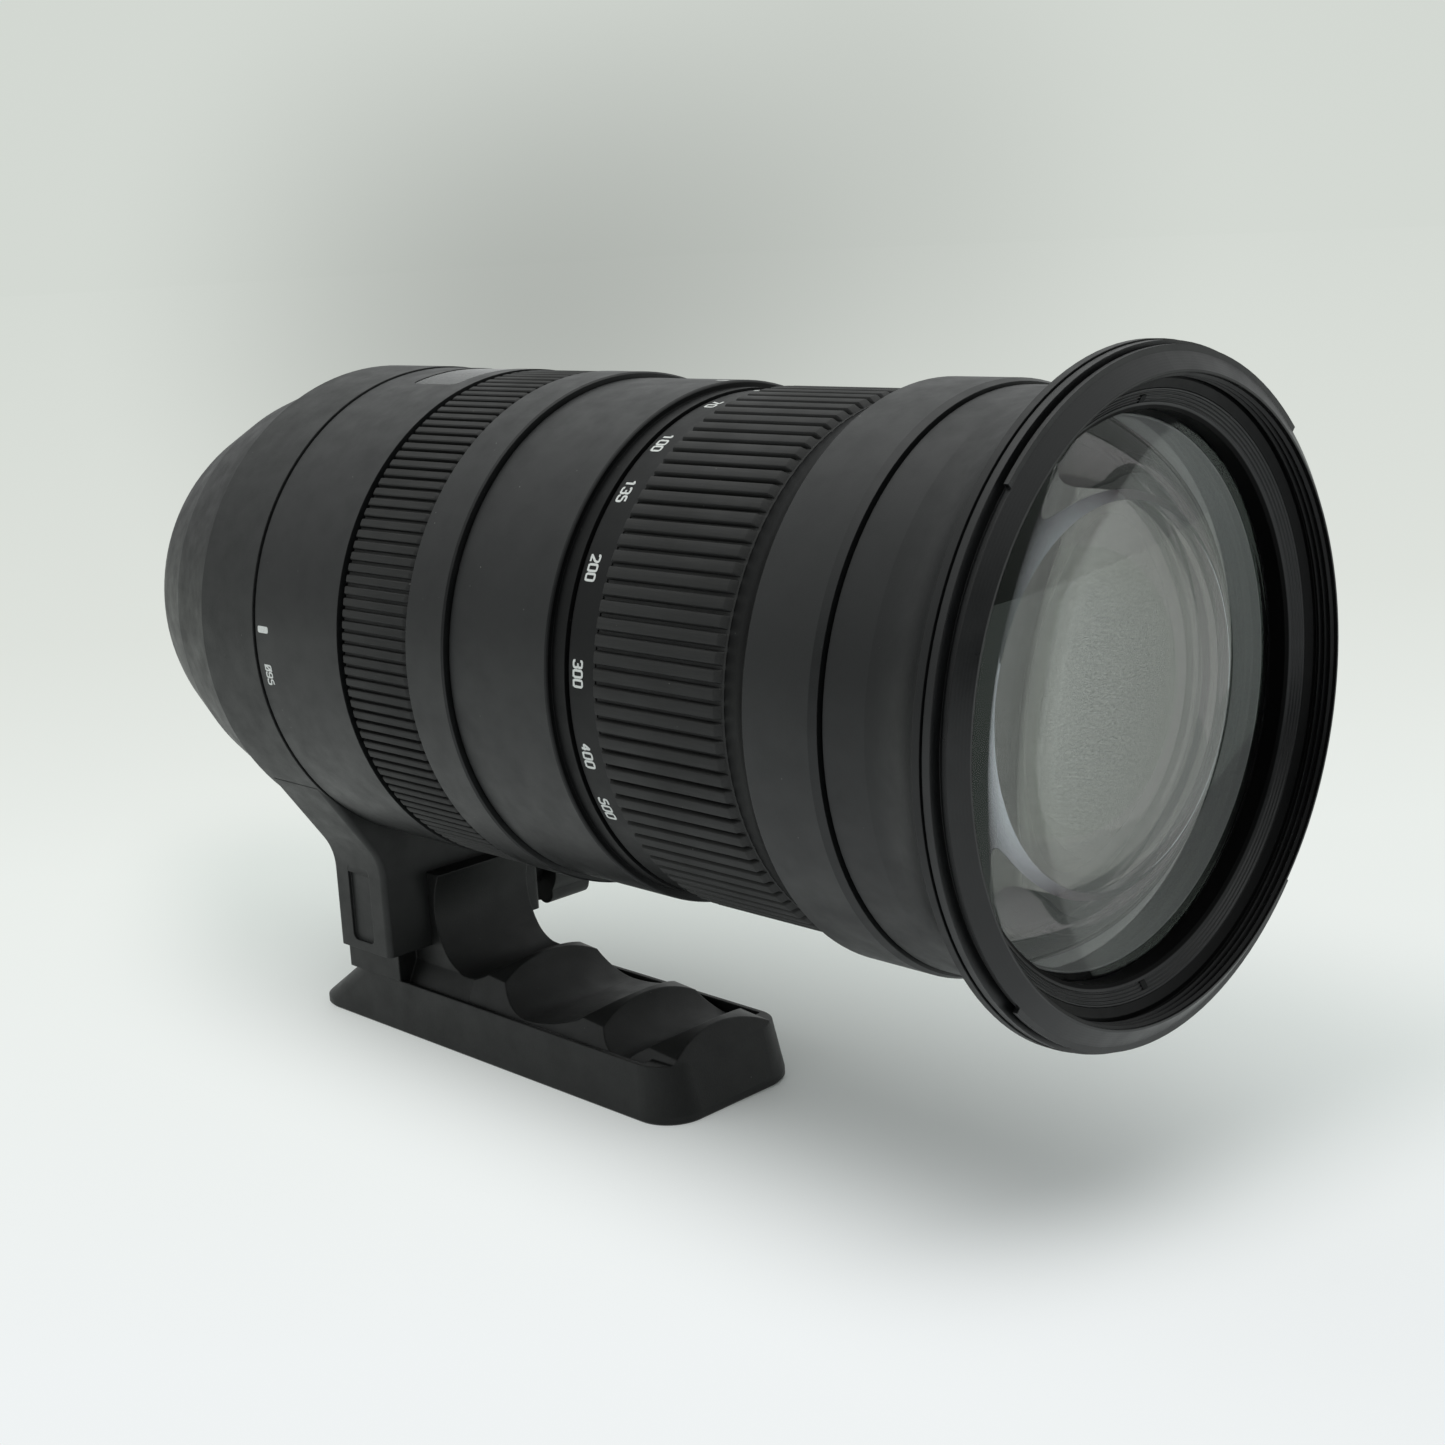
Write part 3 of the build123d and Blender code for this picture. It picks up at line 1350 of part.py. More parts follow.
# Diaphragm blades, each in its own plane, with a pivot pin behind and a drive pin in front
first_blade = iris_base_front + blade_pitch / 2
iris_ring_rear = first_blade + blade_count * blade_pitch + iris_ring_gap / 2
half_turn = blade_turn / 2
for index, angle in enumerate(blade_angles):
    blade_rear = first_blade + index * blade_pitch
    pivot = (blade_pivot_circle * cos(radians(angle)), blade_pivot_circle * sin(radians(angle)))
    arm_angle = angle - half_turn
    drive = (pivot[0] + blade_arm * cos(radians(arm_angle)), pivot[1] + blade_arm * sin(radians(arm_angle)))
    tip_angle = angle + blade_sweep_angle
    blade_middle = (blade_inner_radius + blade_outer_radius) / 2
    tip = (blade_middle * cos(radians(tip_angle)), blade_middle * sin(radians(tip_angle)))
    with BuildPart() as blade:
        with BuildSketch(Plane.YZ.offset(blade_rear)):
            with BuildLine():
                inner = CenterArc((0, 0), blade_inner_radius, angle, blade_sweep_angle)
                outer = CenterArc((0, 0), blade_outer_radius, angle, blade_sweep_angle)
                Line(inner @ 0, outer @ 0)
                Line(inner @ 1, outer @ 1)
            make_face()
            with Locations(tip):
                Circle((blade_outer_radius - blade_inner_radius) / 2)
            with Locations(pivot):
                Circle(blade_tab_radius)
            neck_middle = (
                (blade_outer_radius + blade_pivot_circle) / 2 * cos(radians(angle)),
                (blade_outer_radius + blade_pivot_circle) / 2 * sin(radians(angle)),
            )
            with Locations(Location((neck_middle[0], neck_middle[1], 0), (0, 0, angle))):
                Rectangle(2 * blade_tab_radius, 2 * blade_tab_radius)
            arm_middle = ((pivot[0] + drive[0]) / 2, (pivot[1] + drive[1]) / 2)
            with Locations(Location((arm_middle[0], arm_middle[1], 0), (0, 0, arm_angle))):
                SlotOverall(blade_arm + 2 * blade_tab_radius, 2 * blade_tab_radius)
        extrude(amount=blade_thickness)
        with BuildSketch(Plane.YZ.offset(iris_base_rear + slip)):
            with Locations(pivot):
                Circle(blade_pin_radius)
        extrude(amount=blade_rear - iris_base_rear - slip)
        with BuildSketch(Plane.YZ.offset(blade_rear)):
            with Locations(drive):
                Circle(blade_pin_radius)
        extrude(amount=iris_ring_rear + iris_ring_thickness - blade_rear)
    finish("iris_blade_%d" % (index + 1), blade.part)

# Drive ring of the diaphragm, with a radial slot for each blade's drive pin
ring_outer = iris_cup_bore - slip
arm_forward = blade_pivot_circle + blade_arm * cos(radians(half_turn))
arm_sideways = blade_arm * sin(radians(half_turn))
arm_reach = hypot(arm_forward, arm_sideways)
arm_lag = degrees(atan2(arm_sideways, arm_forward))
pin_rise = blade_pivot_circle + blade_arm - arm_reach
with BuildPart() as iris_ring:
    ring(iris_ring_rear, iris_ring_rear + iris_ring_thickness, ring_outer - iris_ring_width, ring_outer)
    for angle in blade_angles:
        slot_angle = angle - arm_lag
        slot_radius = arm_reach + pin_rise / 2
        outwards = (0, cos(radians(slot_angle)), sin(radians(slot_angle)))
        spot = (iris_ring_rear, slot_radius * outwards[1], slot_radius * outwards[2])
        with BuildSketch(Plane(origin=spot, x_dir=outwards, z_dir=(1, 0, 0))):
            SlotOverall(pin_rise + 2 * (blade_pin_radius + slip) + slip, 2 * (blade_pin_radius + slip))
        extrude(amount=iris_ring_thickness, mode=Mode.SUBTRACT)
finish("iris_ring", iris_ring.part)

# Fixed rear cell: flange, tube with the rear lens, and the stabiliser's cup
rear_tube_front = guide_step_front + rear_flange_length + rear_tube_length
rear_lens_rear = guide_step_front + rear_lens_seat
stabiliser_front = rear_tube_front + stabiliser_base
with BuildPart() as rear_cell:
    ring(guide_step_front, guide_step_front + rear_flange_length, rear_lens_radius + glass_clearance, cell_radius)
    ring(guide_step_front, rear_lens_rear, rear_lens_radius - cell_ring_wall,
         rear_lens_radius + glass_clearance + rear_tube_wall)
    ring(guide_step_front, rear_tube_front, rear_lens_radius + glass_clearance,
         rear_lens_radius + glass_clearance + rear_tube_wall)
    ring(rear_tube_front, stabiliser_front, stabiliser_bore, cell_radius)
    ring(rear_tube_front, stabiliser_front + stabiliser_length, cell_radius - stabiliser_wall, cell_radius)
finish("rear_cell", rear_cell.part)

with BuildPart() as rear_element:
    revolve(
        lens_section(rear_lens_rear, rear_lens_rear + rear_lens_edge, rear_lens_radius, 0, rear_lens_bulge),
        axis=Axis.X,
    )
finish("rear_element", rear_element.part)

# Stabiliser: a slide that moves sideways, and on it the cell that moves up and down
slide_rear = stabiliser_front + slip
slide_front = slide_rear + slide_thickness
stabiliser_cell_rear = slide_front + slip
with BuildPart() as stabiliser_slide:
    ring(slide_rear, slide_front, stabiliser_bore + stabiliser_play, slide_radius)
finish("stabiliser_slide", stabiliser_slide.part)

with BuildPart() as stabiliser_cell:
    ring(stabiliser_cell_rear, stabiliser_cell_rear + cell_ring_wall, stabiliser_glass_radius - cell_ring_wall,
         stabiliser_cell_radius)
    ring(stabiliser_cell_rear, stabiliser_cell_rear + stabiliser_cell_length,
         stabiliser_glass_radius + glass_clearance, stabiliser_glass_radius + glass_clearance + cell_ring_wall)
finish("stabiliser_cell", stabiliser_cell.part)

with BuildPart() as stabiliser_element:
    stabiliser_seat = stabiliser_cell_rear + cell_ring_wall
    revolve(
        lens_section(stabiliser_seat, stabiliser_seat + stabiliser_glass_edge, stabiliser_glass_radius,
                     0, stabiliser_glass_bulge),
        axis=Axis.X,
    )
finish("stabiliser_element", stabiliser_element.part)
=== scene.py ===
from math import cos, degrees, hypot, radians, sin, sqrt, tan, tau

import bmesh
import bpy
from mathutils import Matrix, Vector


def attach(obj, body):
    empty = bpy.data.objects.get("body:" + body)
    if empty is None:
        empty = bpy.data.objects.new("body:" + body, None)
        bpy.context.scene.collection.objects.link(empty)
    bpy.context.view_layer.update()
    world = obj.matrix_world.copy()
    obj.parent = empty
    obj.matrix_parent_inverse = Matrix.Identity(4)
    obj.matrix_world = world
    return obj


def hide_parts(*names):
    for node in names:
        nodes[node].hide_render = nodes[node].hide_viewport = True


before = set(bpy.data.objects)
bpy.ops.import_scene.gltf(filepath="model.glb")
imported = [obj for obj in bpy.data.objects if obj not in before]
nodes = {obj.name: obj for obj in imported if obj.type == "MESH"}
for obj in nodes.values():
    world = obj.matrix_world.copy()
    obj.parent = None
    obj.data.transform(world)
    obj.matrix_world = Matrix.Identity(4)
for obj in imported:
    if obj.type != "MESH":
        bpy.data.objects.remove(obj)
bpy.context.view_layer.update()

# Every length below is in millimetres and is turned into metres by this factor. Angles round the lens
# axis are in degrees
MM = 0.001
FULL_TURN = 360

# Stations along the lens axis and radii, as in the part
TABLE_HEIGHT = -87.1
BARREL_RADIUS = 46.4
FOCUS_RUBBER = (79.4, 98.2)
FOCUS_RUBBER_SEAT = 44.9
FOCUS_RUBBER_FLOOR = 45.35
FOCUS_RUBBER_TOP = 46.2
STRIP_MIDDLE = 138.75
STRIP_RADIUS = 43.6
ZOOM_RUBBER = (142.7, 170.5)
ZOOM_RUBBER_SEAT = 43.2
ZOOM_RUBBER_FLOOR = 43.4
ZOOM_RUBBER_TOP = 44.4
WINDOW_MIDDLE = 68.0
DRUM_RADIUS = 44.5
PANEL_FACE = 48.4
GLASS_REAR = 205.6
GLASS_EDGE = 209.6
GLASS_VERTEX = 215.2
GLASS_RADIUS = 43.0
RETAINER_FRONT = 214.5
RETAINER_TIP = 213.2
RETAINER_REAR = 209.9
RETAINER_RADIUS = 45.25
RETAINER_BORE = 42.3
THREAD_RADIUS = 47.5
NECK_CREST = 45.2

# Columns of points round a turned piece: most pieces, discs of glass, and the pieces seen closest
COLUMNS = 256
GLASS_COLUMNS = 192
FINE_COLUMNS = 360


def mesh_piece(name, points, faces, sharp=35.0):
    """A smooth-shaded mesh object from points in millimetres."""
    mesh = bpy.data.meshes.new(name)
    mesh.from_pydata([Vector(point) * MM for point in points], [], faces)
    work = bmesh.new()
    work.from_mesh(mesh)
    bmesh.ops.recalc_face_normals(work, faces=work.faces)
    work.to_mesh(mesh)
    work.free()
    for polygon in mesh.polygons:
        polygon.use_smooth = True
    mesh.set_sharp_from_angle(angle=radians(sharp))
    piece = bpy.data.objects.new(name, mesh)
    bpy.context.scene.collection.objects.link(piece)
    return piece


def on_axis(station, radius, angle):
    """A point round the lens axis; the angle runs from the photographer's right upwards."""
    turn = radians(angle)
    return (station, -radius * cos(turn), radius * sin(turn))


def ring_faces(rings, columns):
    """Quads between closed rings of points, the last ring joined to the first."""
    faces = []
    for ring in range(rings):
        here = ring * columns
        there = (ring + 1) % rings * columns
        for column in range(columns):
            following = (column + 1) % columns
            faces.append((here + column, here + following, there + following, there + column))
    return faces


def lathe(name, profile, columns=COLUMNS, sharp=35.0):
    """A closed outline of (station, radius) points turned round the axis."""
    points = []
    for station, radius in profile:
        for column in range(columns):
            points.append(on_axis(station, radius, FULL_TURN * column / columns))
    return mesh_piece(name, points, ring_faces(len(profile), columns), sharp)


def disc_lathe(name, profile, columns=GLASS_COLUMNS, sharp=35.0):
    """A solid of revolution whose outline starts and ends on the axis."""
    points = [(profile[0][0], 0, 0)]
    for station, radius in profile[1:-1]:
        for column in range(columns):
            points.append(on_axis(station, radius, FULL_TURN * column / columns))
    points.append((profile[-1][0], 0, 0))
    last = len(points) - 1
    faces = []
    rings = len(profile) - 2
    for column in range(columns):
        following = (column + 1) % columns
        faces.append((0, 1 + column, 1 + following))
        for ring in range(rings - 1):
            here = 1 + ring * columns
            there = here + columns
            faces.append((here + column, here + following, there + following, there + column))
        here = 1 + (rings - 1) * columns
        faces.append((here + column, here + following, last))
    return mesh_piece(name, points, faces, sharp)


def ribbed_sleeve(name, span, seat, floor, top, count, wall_shares, stations, phase):
    """Rubber sleeve with lengthwise ribs; stations hold (offset from the rear end, height share)."""
    rear, front = span
    points = []
    columns = count * len(wall_shares)
    rings = [(rear, None)]
    rings += [((rear if offset >= 0 else front) + offset, share) for offset, share in stations]
    rings += [(front, None)]
    for station, share in rings:
        for rib in range(count):
            for across, height in wall_shares:
                angle = phase + (rib + across) * FULL_TURN / count
                radius = seat
                if share is not None:
                    radius = floor + (top - floor) * height * share
                points.append(on_axis(station, radius, angle))
    return mesh_piece(name, points, ring_faces(len(rings), columns), sharp=28.0)


# Lettering in the built-in typeface, whose capitals are this share of its size high
CAPITAL_SHARE = 0.72
PRINT_THICKNESS = 0.04
PRINT_LIFT = 0.02


def text_points(body, height, bold):
    """Vertices in millimetres and faces of a line of lettering, centred on the origin."""
    curve = bpy.data.curves.new("lettering", "FONT")
    curve.body = body
    curve.size = height / CAPITAL_SHARE
    curve.align_x = "CENTER"
    curve.offset = bold
    curve.extrude = PRINT_THICKNESS / 2
    curve.resolution_u = 3
    holder = bpy.data.objects.new("lettering", curve)
    bpy.context.scene.collection.objects.link(holder)
    bpy.context.view_layer.update()
    evaluated = holder.evaluated_get(bpy.context.evaluated_depsgraph_get())
    mesh = bpy.data.meshes.new_from_object(evaluated)
    points = [vertex.co.copy() for vertex in mesh.vertices]
    faces = [tuple(polygon.vertices) for polygon in mesh.polygons]
    bpy.data.objects.remove(holder)
    bpy.data.curves.remove(curve)
    bpy.data.meshes.remove(mesh)
    low = min(point.y for point in points)
    high = max(point.y for point in points)
    left = min(point.x for point in points)
    right = max(point.x for point in points)
    middle = Vector(((left + right) / 2, (low + high) / 2, 0))
    return [point - middle for point in points], faces


def wrapped_words(name, words, radius, height, bold=0.03):
    """Lettering round a cylinder; words hold (text, station, angle), with their tops to the front."""
    points = []
    faces = []
    for body, station, angle in words:
        spots, patches = text_points(body, height, bold)
        first = len(points)
        for spot in spots:
            turn = angle - degrees(spot.x / radius)
            points.append(on_axis(station + spot.y, radius + PRINT_LIFT + spot.z, turn))
        faces += [tuple(first + corner for corner in patch) for patch in patches]
    return mesh_piece(name, points, faces)


BAR_ROUNDING = 0.3
BAR_CORNER_STEPS = 6


def bar_on_barrel(name, bars, radius, lift=0.03):
    """Painted bars round a cylinder: (rear, front, angle, width), each a thin rounded plate."""
    points = []
    faces = []
    for rear, front, angle, width in bars:
        end = BAR_ROUNDING * min(width, front - rear)
        outline = []
        for middle_x, middle_y, start in (
            (front - end, width / 2 - end, 0),
            (rear + end, width / 2 - end, 90),
            (rear + end, -width / 2 + end, 180),
            (front - end, -width / 2 + end, 270),
        ):
            for corner in range(BAR_CORNER_STEPS + 1):
                turn = radians(start + 90 * corner / BAR_CORNER_STEPS)
                outline.append((middle_x + end * cos(turn), middle_y + end * sin(turn)))
        first = len(points)
        for level in (-lift, lift):
            for station, across in outline:
                points.append(on_axis(station, radius + level, angle + degrees(across / radius)))
        size = len(outline)
        faces.append(tuple(first + corner for corner in range(size)))
        faces.append(tuple(first + size + corner for corner in reversed(range(size))))
        for corner in range(size):
            following = (corner + 1) % size
            faces.append((
                first + corner, first + following, first + size + following, first + size + corner,
            ))
    return mesh_piece(name, points, faces)


# Materials, all from nodes
def new_material(name):
    material = bpy.data.materials.new(name)
    material.use_nodes = True
    tree = material.node_tree
    shader = tree.nodes["Principled BSDF"]
    spot = tree.nodes.new("ShaderNodeTexCoord").outputs["Object"]
    return material, tree, shader, spot


def noise(tree, spot, scale, detail=3.0, rough=0.6, stretch=None):
    """Noise whose features are the given number of millimetres across."""
    if stretch:
        mapping = tree.nodes.new("ShaderNodeMapping")
        mapping.inputs["Scale"].default_value = stretch
        tree.links.new(spot, mapping.inputs["Vector"])
        spot = mapping.outputs["Vector"]
    texture = tree.nodes.new("ShaderNodeTexNoise")
    texture.inputs["Scale"].default_value = 1 / (scale * MM)
    texture.inputs["Detail"].default_value = detail
    texture.inputs["Roughness"].default_value = rough
    tree.links.new(spot, texture.inputs["Vector"])
    return texture.outputs["Fac"]


def remap(tree, value, low, high, to_low, to_high):
    node = tree.nodes.new("ShaderNodeMapRange")
    for key, number in zip(("From Min", "From Max", "To Min", "To Max"), (low, high, to_low, to_high)):
        node.inputs[key].default_value = number
    tree.links.new(value, node.inputs["Value"])
    return node.outputs["Result"]


def math_node(tree, kind, first, second):
    node = tree.nodes.new("ShaderNodeMath")
    node.operation = kind
    for socket, value in zip(node.inputs, (first, second)):
        if isinstance(value, (int, float)):
            socket.default_value = value
        else:
            tree.links.new(value, socket)
    return node.outputs["Value"]


def blend_colours(tree, factor, first, second):
    node = tree.nodes.new("ShaderNodeMix")
    node.data_type = "RGBA"
    tree.links.new(factor, node.inputs["Factor"])
    for socket, value in ((node.inputs["A"], first), (node.inputs["B"], second)):
        if isinstance(value, tuple):
            socket.default_value = value + (1,)
        else:
            tree.links.new(value, socket)
    return node.outputs["Result"]


def add_bump(tree, shader, height, distance, strength=1.0, below=None):
    """A bump in millimetres, laid over another where one is given."""
    node = tree.nodes.new("ShaderNodeBump")
    node.inputs["Strength"].default_value = strength
    node.inputs["Distance"].default_value = distance * MM
    tree.links.new(height, node.inputs["Height"])
    if below:
        tree.links.new(below, node.inputs["Normal"])
    tree.links.new(node.outputs["Normal"], shader.inputs["Normal"])
    return node.outputs["Normal"]


def axis_distance(tree, spot):
    """Distance from the lens axis and place along it, both in metres."""
    split = tree.nodes.new("ShaderNodeSeparateXYZ")
    tree.links.new(spot, split.inputs["Vector"])
    across = math_node(tree, "POWER", split.outputs["Y"], 2.0)
    upwards = math_node(tree, "POWER", split.outputs["Z"], 2.0)
    return math_node(tree, "SQRT", math_node(tree, "ADD", across, upwards), 0.0), split.outputs["X"]


def turned_height(tree, spot, pitch):
    """Height of fine turning marks that run round the axis at this pitch in millimetres."""
    radius, station = axis_distance(tree, spot)
    path = math_node(tree, "ADD", radius, station)
    return math_node(tree, "SINE", math_node(tree, "MULTIPLY", path, tau / (pitch * MM)), 0.0)


SOFT_EDGE = 0.08


def inside(tree, value, low, high):
    """One between two lengths in millimetres, nought beyond them, with a soft edge."""
    soft = SOFT_EDGE * MM
    above = remap(tree, value, low * MM - soft, low * MM + soft, 0.0, 1.0)
    below = remap(tree, value, high * MM - soft, high * MM + soft, 1.0, 0.0)
    return math_node(tree, "MULTIPLY", above, below)


# Sizes of features in millimetres, and colours, that the finishes share
BROAD_CLOUD = 14.0
GLOSS_CLOUD = 5.0
SPECK_LIGHTER = 1.35
DUST_CELL = 2.4
DUST_PATCH = 9.0
DUST_COLOUR = (0.32, 0.32, 0.30)
# Near-black towards which the painted shade of recesses and slopes darkens the colour
PAINTED_SHADE_BLACK = (0.002, 0.002, 0.002)
TURNING_DEPTH = 0.0025


def painted(name, dark, light, rough, grain=0.22, bump=0.012, spread=0.07, turned=None, dust=0.0,
            specular=0.5, edge=0.15, shade_zones=()):
    """Fine-grained paint, anodising or moulded plastic with uneven gloss, a little dust and softened
    edges; shade_zones hold ("X" or "R", from, to, share) of stretches darkened by painted shade, in
    colour and sheen alike."""
    material, tree, shader, spot = new_material(name)
    fine = noise(tree, spot, grain, detail=2.0)
    broad = noise(tree, spot, BROAD_CLOUD, detail=4.0)
    colour = blend_colours(tree, remap(tree, broad, 0.3, 0.7, 0.0, 1.0), dark, light)
    speckle = remap(tree, fine, 0.35, 0.65, 0.0, 0.5)
    colour = blend_colours(tree, speckle, colour, tuple(SPECK_LIGHTER * part for part in light))
    if dust:
        spots = tree.nodes.new("ShaderNodeTexVoronoi")
        spots.inputs["Scale"].default_value = 1 / (DUST_CELL * MM)
        tree.links.new(spot, spots.inputs["Vector"])
        patch = noise(tree, spot, DUST_PATCH, detail=2.0)
        near = remap(tree, spots.outputs["Distance"], 0.03, 0.06, 1.0, 0.0)
        mask = math_node(tree, "MULTIPLY", near, remap(tree, patch, 0.56, 0.62, 0.0, dust))
        colour = blend_colours(tree, mask, colour, DUST_COLOUR)
    shader.inputs["Specular IOR Level"].default_value = specular
    # Painted shade: the listed stretches are darkened towards near-black and lose most of their sheen
    if shade_zones:
        radius, station = axis_distance(tree, spot)
        shade = 0.0
        for axis, low, high, share in shade_zones:
            where = inside(tree, radius if axis == "R" else station, low, high)
            shade = math_node(tree, "MAXIMUM", shade, math_node(tree, "MULTIPLY", where, 1 - share))
        colour = blend_colours(tree, shade, colour, PAINTED_SHADE_BLACK)
        left = math_node(tree, "SUBTRACT", 1.0, shade)
        shine = math_node(tree, "MULTIPLY", left, specular)
        tree.links.new(shine, shader.inputs["Specular IOR Level"])
    tree.links.new(colour, shader.inputs["Base Color"])
    gloss = noise(tree, spot, GLOSS_CLOUD, detail=5.0)
    uneven = remap(tree, gloss, 0.3, 0.7, rough - spread, rough + spread)
    tree.links.new(uneven, shader.inputs["Roughness"])
    rounded = tree.nodes.new("ShaderNodeBevel")
    rounded.samples = 6
    rounded.inputs["Radius"].default_value = edge * MM
    below = add_bump(tree, shader, fine, bump, below=rounded.outputs["Normal"])
    if turned:
        add_bump(tree, shader, turned_height(tree, spot, turned), TURNING_DEPTH, below=below)
    return material


RUBBER_COLOURS = ((0.007, 0.0072, 0.0070), (0.011, 0.0112, 0.0106))
RUBBER_STREAK = (0.016, 0.016, 0.015)
RUBBER_DUST = (0.22, 0.22, 0.20)
RUBBER_DUST_CELL = 1.6
RUBBER_DUST_PATCH = 6.0
STREAK_WIDTH = 0.35
BLOOM_SIZE = 11.0
RUBBER_GRAIN = 0.12
STREAK_DEPTH = 0.03
RUBBER_GRAIN_DEPTH = 0.012


def rubber(name):
    """Matt moulded rubber with streaks along the ribs, a dry bloom and specks of dust."""
    material, tree, shader, spot = new_material(name)
    streak = noise(tree, spot, STREAK_WIDTH, detail=3.0, stretch=(0.05, 1, 1))
    bloom = noise(tree, spot, BLOOM_SIZE, detail=5.0)
    colour = blend_colours(tree, remap(tree, bloom, 0.3, 0.7, 0.0, 1.0), *RUBBER_COLOURS)
    colour = blend_colours(tree, remap(tree, streak, 0.4, 0.62, 0.0, 0.6), colour, RUBBER_STREAK)
    spots = tree.nodes.new("ShaderNodeTexVoronoi")
    spots.inputs["Scale"].default_value = 1 / (RUBBER_DUST_CELL * MM)
    tree.links.new(spot, spots.inputs["Vector"])
    near = remap(tree, spots.outputs["Distance"], 0.04, 0.08, 1.0, 0.0)
    patch = remap(tree, noise(tree, spot, RUBBER_DUST_PATCH, detail=2.0), 0.56, 0.62, 0.0, 0.6)
    colour = blend_colours(tree, math_node(tree, "MULTIPLY", near, patch), colour, RUBBER_DUST)
    tree.links.new(colour, shader.inputs["Base Color"])
    tree.links.new(remap(tree, bloom, 0.3, 0.7, 0.55, 0.72), shader.inputs["Roughness"])
    below = add_bump(tree, shader, streak, STREAK_DEPTH)
    fine = noise(tree, spot, RUBBER_GRAIN, detail=2.0)
    add_bump(tree, shader, fine, RUBBER_GRAIN_DEPTH, below=below)
    shader.inputs["Specular IOR Level"].default_value = 0.5
    return material


METAL_SCRATCH = 0.5
METAL_CLOUD = 6.0
METAL_DARKER = 0.86
SCRATCH_DEPTH = 0.004
METAL_TURNING_DEPTH = 0.002


def metal(name, colour, rough, turned=None):
    """Satin metal with fine marks; the turned ones run round the axis."""
    material, tree, shader, spot = new_material(name)
    cloud = noise(tree, spot, METAL_CLOUD, detail=5.0)
    darker = tuple(METAL_DARKER * part for part in colour)
    tree.links.new(blend_colours(tree, cloud, darker, colour), shader.inputs["Base Color"])
    scratch = noise(tree, spot, METAL_SCRATCH, detail=4.0)
    uneven = remap(tree, scratch, 0.3, 0.7, rough - 0.06, rough + 0.08)
    tree.links.new(uneven, shader.inputs["Roughness"])
    below = add_bump(tree, shader, scratch, SCRATCH_DEPTH)
    if turned:
        add_bump(tree, shader, turned_height(tree, spot, turned), METAL_TURNING_DEPTH, below=below)
    shader.inputs["Metallic"].default_value = 1.0
    return material


INK_CLOUD = 0.25
INK_DARKER = 0.84
INK_DEPTH = 0.006


def ink(name, colour):
    """Printed paint, slightly uneven at its edge and in its gloss."""
    material, tree, shader, spot = new_material(name)
    cloud = noise(tree, spot, INK_CLOUD, detail=4.0)
    darker = tuple(INK_DARKER * part for part in colour)
    patchy = blend_colours(tree, remap(tree, cloud, 0.3, 0.6, 0.0, 1.0), darker, colour)
    tree.links.new(patchy, shader.inputs["Base Color"])
    tree.links.new(remap(tree, cloud, 0.3, 0.7, 0.42, 0.6), shader.inputs["Roughness"])
    add_bump(tree, shader, cloud, INK_DEPTH)
    return material


SMUDGE_SIZE = 7.0
RIPPLE_SIZE = 30.0
RIPPLE_DEPTH = 0.002
TURN_BLEND = 0.35


def coated_glass(name, straight, grazing, transmission, index, tint, smear, turn=(0.0, 1.0)):
    """Coated glass: one reflection colour seen straight on and another at a grazing angle, with the
    change between them at two shares of the turn away from the viewer."""
    material, tree, shader, spot = new_material(name)
    output = tree.nodes["Material Output"]
    second = tree.nodes.new("ShaderNodeBsdfPrincipled")
    smudge = noise(tree, spot, SMUDGE_SIZE, detail=4.0)
    ripple = noise(tree, spot, RIPPLE_SIZE, detail=1.0)
    for surface, sheen_colour in ((shader, straight), (second, grazing)):
        surface.inputs["Base Color"].default_value = tint + (1,)
        surface.inputs["Transmission Weight"].default_value = transmission
        surface.inputs["IOR"].default_value = index
        surface.inputs["Specular Tint"].default_value = sheen_colour + (1,)
        tree.links.new(remap(tree, smudge, 0.35, 0.75, 0.0, smear), surface.inputs["Roughness"])
        add_bump(tree, surface, ripple, RIPPLE_DEPTH)
    angle = tree.nodes.new("ShaderNodeLayerWeight")
    angle.inputs["Blend"].default_value = TURN_BLEND
    mix = tree.nodes.new("ShaderNodeMixShader")
    change = remap(tree, angle.outputs["Facing"], turn[0], turn[1], 0.0, 1.0)
    tree.links.new(change, mix.inputs["Fac"])
    tree.links.new(shader.outputs["BSDF"], mix.inputs[1])
    tree.links.new(second.outputs["BSDF"], mix.inputs[2])
    tree.links.new(mix.outputs["Shader"], output.inputs["Surface"])
    return material


# Stretches of a part darkened by painted shade: recesses, bores, the flare and the rear taper; (axis or
# radius, from, to, share of the light left)
COVER_ZONE = ("X", -2.0, 36.0, 0.55)
NECK_ZONE = ("X", 132.7, 136.3, 0.42)
STRIP_ZONE = ("X", 136.3, 142.9, 0.5)
COVE_ZONE = ("X", 170.2, 176.6, 0.3)
FLARE_ZONE = ("X", 199.0, 214.2, 0.85)
RIM_BORE_ZONE = ("R", 45.3, 47.6, 0.25)
RETAINER_BORE_ZONE = ("R", 42.0, 42.9, 0.1)
ANODISED_DARK = (0.0050, 0.0053, 0.0056)
ANODISED_LIGHT = (0.0070, 0.0074, 0.0078)

